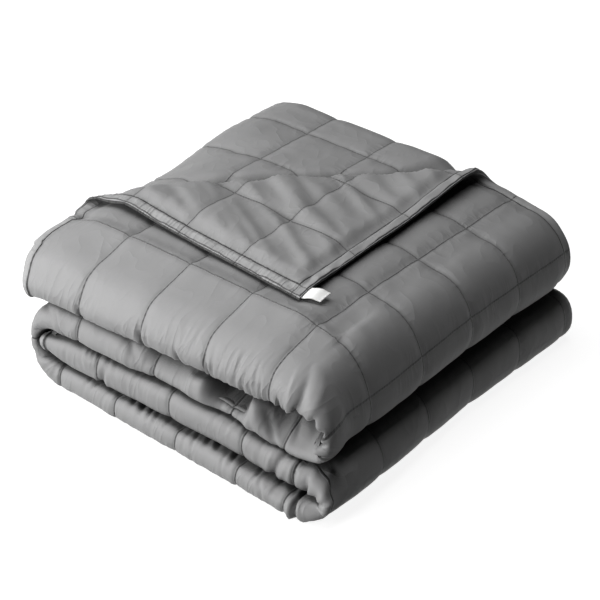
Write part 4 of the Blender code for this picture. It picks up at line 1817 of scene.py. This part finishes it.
@dataclass(frozen=True)
class FloorFinish:
    """Plain pale paper, lit from behind so that shadows on it stay pale."""

    paper: Colour = (0.35, 0.35, 0.35, 1.0)
    glow: Colour = (1.0, 1.0, 1.0, 1.0)
    strength: float = 0.88
    rough: float = 0.9

    def build(self) -> bpy.types.Material:
        """Make the material.

        Returns:
            The material.
        """
        return Bench("studio_paper").dress({"Base Color": self.paper, "Roughness": self.rough,
                                            "Specular IOR Level": 0.0, "Emission Color": self.glow,
                                            "Emission Strength": self.strength})


# ------------------------------------------------------------------------------------------- the studio


@dataclass(frozen=True)
class Lamp:
    """A soft rectangular lamp: where it hangs, its size and its power."""

    role: Light
    spot: Triple
    size: float
    power: float

    def hang(self, target: Vector) -> bpy.types.Object:
        """Hang the lamp so that it faces the stack.

        Args:
            target: the point that it faces.

        Returns:
            The lamp.
        """
        data = bpy.data.lights.new(f"{self.role.value}_lamp", "AREA")
        data.shape = "SQUARE"
        data.size = self.size
        data.energy = self.power
        lamp = bpy.data.objects.new(data.name, data)
        lamp.location = Vector(self.spot)
        lamp.rotation_mode = "QUATERNION"
        lamp.rotation_quaternion = (target - lamp.location).to_track_quat("-Z", "Y")
        bpy.context.scene.collection.objects.link(lamp)
        return lamp


@dataclass
class Studio:
    """Pale floor, soft lamps and the camera."""

    azimuth: float = 0.6887
    elevation: float = 0.5702
    distance: float = 3.23702
    focal_pixels: float = 2578.04
    image_pixels: float = 600.0
    roll: float = 0.0114
    target: Vector = field(default_factory=lambda: Vector((0.02502, -0.03655, 0.11372)) - STACK_CENTRE)
    floor_half: float = 6.0
    world: float = 0.02
    sensor: float = 36.0
    sees_to: float = 50.0
    lamps_face: Triple = (0.0, 0.0, 0.1)
    lamps: tuple[Lamp, ...] = (
        Lamp(Light.NEAR, (-1.20, -1.20, 0.80), 1.0, 19.5),
        Lamp(Light.OVERHEAD, (0.00, 0.00, 2.20), 1.2, 19.5),
        Lamp(Light.SIDE, (-0.90, -0.50, 1.80), 1.0, 17.5),
        Lamp(Light.FRONT, (-1.00, -2.60, 0.60), 1.2, 71.0),
    )

    def camera(self) -> bpy.types.Object:
        """Place the camera at the photograph's angle.

        Returns:
            The camera.
        """
        back = Vector((math.sin(self.azimuth) * math.cos(self.elevation),
                       -math.cos(self.azimuth) * math.cos(self.elevation), math.sin(self.elevation)))
        level = (-back).cross(Vector((0.0, 0.0, 1.0))).normalized()
        upright = level.cross(-back)
        right = math.cos(self.roll) * level + math.sin(self.roll) * upright
        top = -math.sin(self.roll) * level + math.cos(self.roll) * upright
        data = bpy.data.cameras.new("camera")
        data.sensor_width = self.sensor
        data.lens = self.focal_pixels / self.image_pixels * data.sensor_width
        data.clip_end = self.sees_to
        made = bpy.data.objects.new("camera", data)
        matrix = Matrix((right, top, back)).transposed().to_4x4()
        matrix.translation = self.target + back * self.distance
        made.matrix_world = matrix
        bpy.context.scene.collection.objects.link(made)
        bpy.context.scene.camera = made
        return made

    def floor(self) -> bpy.types.Object:
        """Lay the pale floor under the stack.

        Returns:
            The floor.
        """
        bm = bmesh.new()
        bmesh.ops.create_grid(bm, x_segments=1, y_segments=1, size=self.floor_half)
        piece = Maker.finished("floor", bm)
        piece.data.materials.append(FloorFinish().build())
        piece.visible_diffuse = False
        return piece

    def sky(self) -> None:
        """Even pale light from all round."""
        world = bpy.data.worlds.new("studio")
        world.use_nodes = True
        background = world.node_tree.nodes["Background"]
        background.inputs["Color"].default_value = (1.0, 1.0, 1.0, 1.0)
        background.inputs["Strength"].default_value = self.world
        bpy.context.scene.world = world

    def build(self) -> None:
        """Set up floor, light and camera."""
        bpy.context.scene.view_settings.view_transform = "Standard"
        self.floor()
        self.sky()
        for lamp in self.lamps:
            lamp.hang(Vector(self.lamps_face))
        self.camera()


def main() -> None:
    """Build the studio, the blanket and its tag."""
    logging.basicConfig(level=logging.INFO, format="%(name)s: %(message)s")
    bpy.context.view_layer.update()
    Studio().build()
    log.info("studio set up")
    blanket = Blanket()
    blanket.build()
    log.info("quilt folded")
    Tag(blanket).build()
    log.info("tag laid at the corner")


if __name__ == "__main__":
    main()
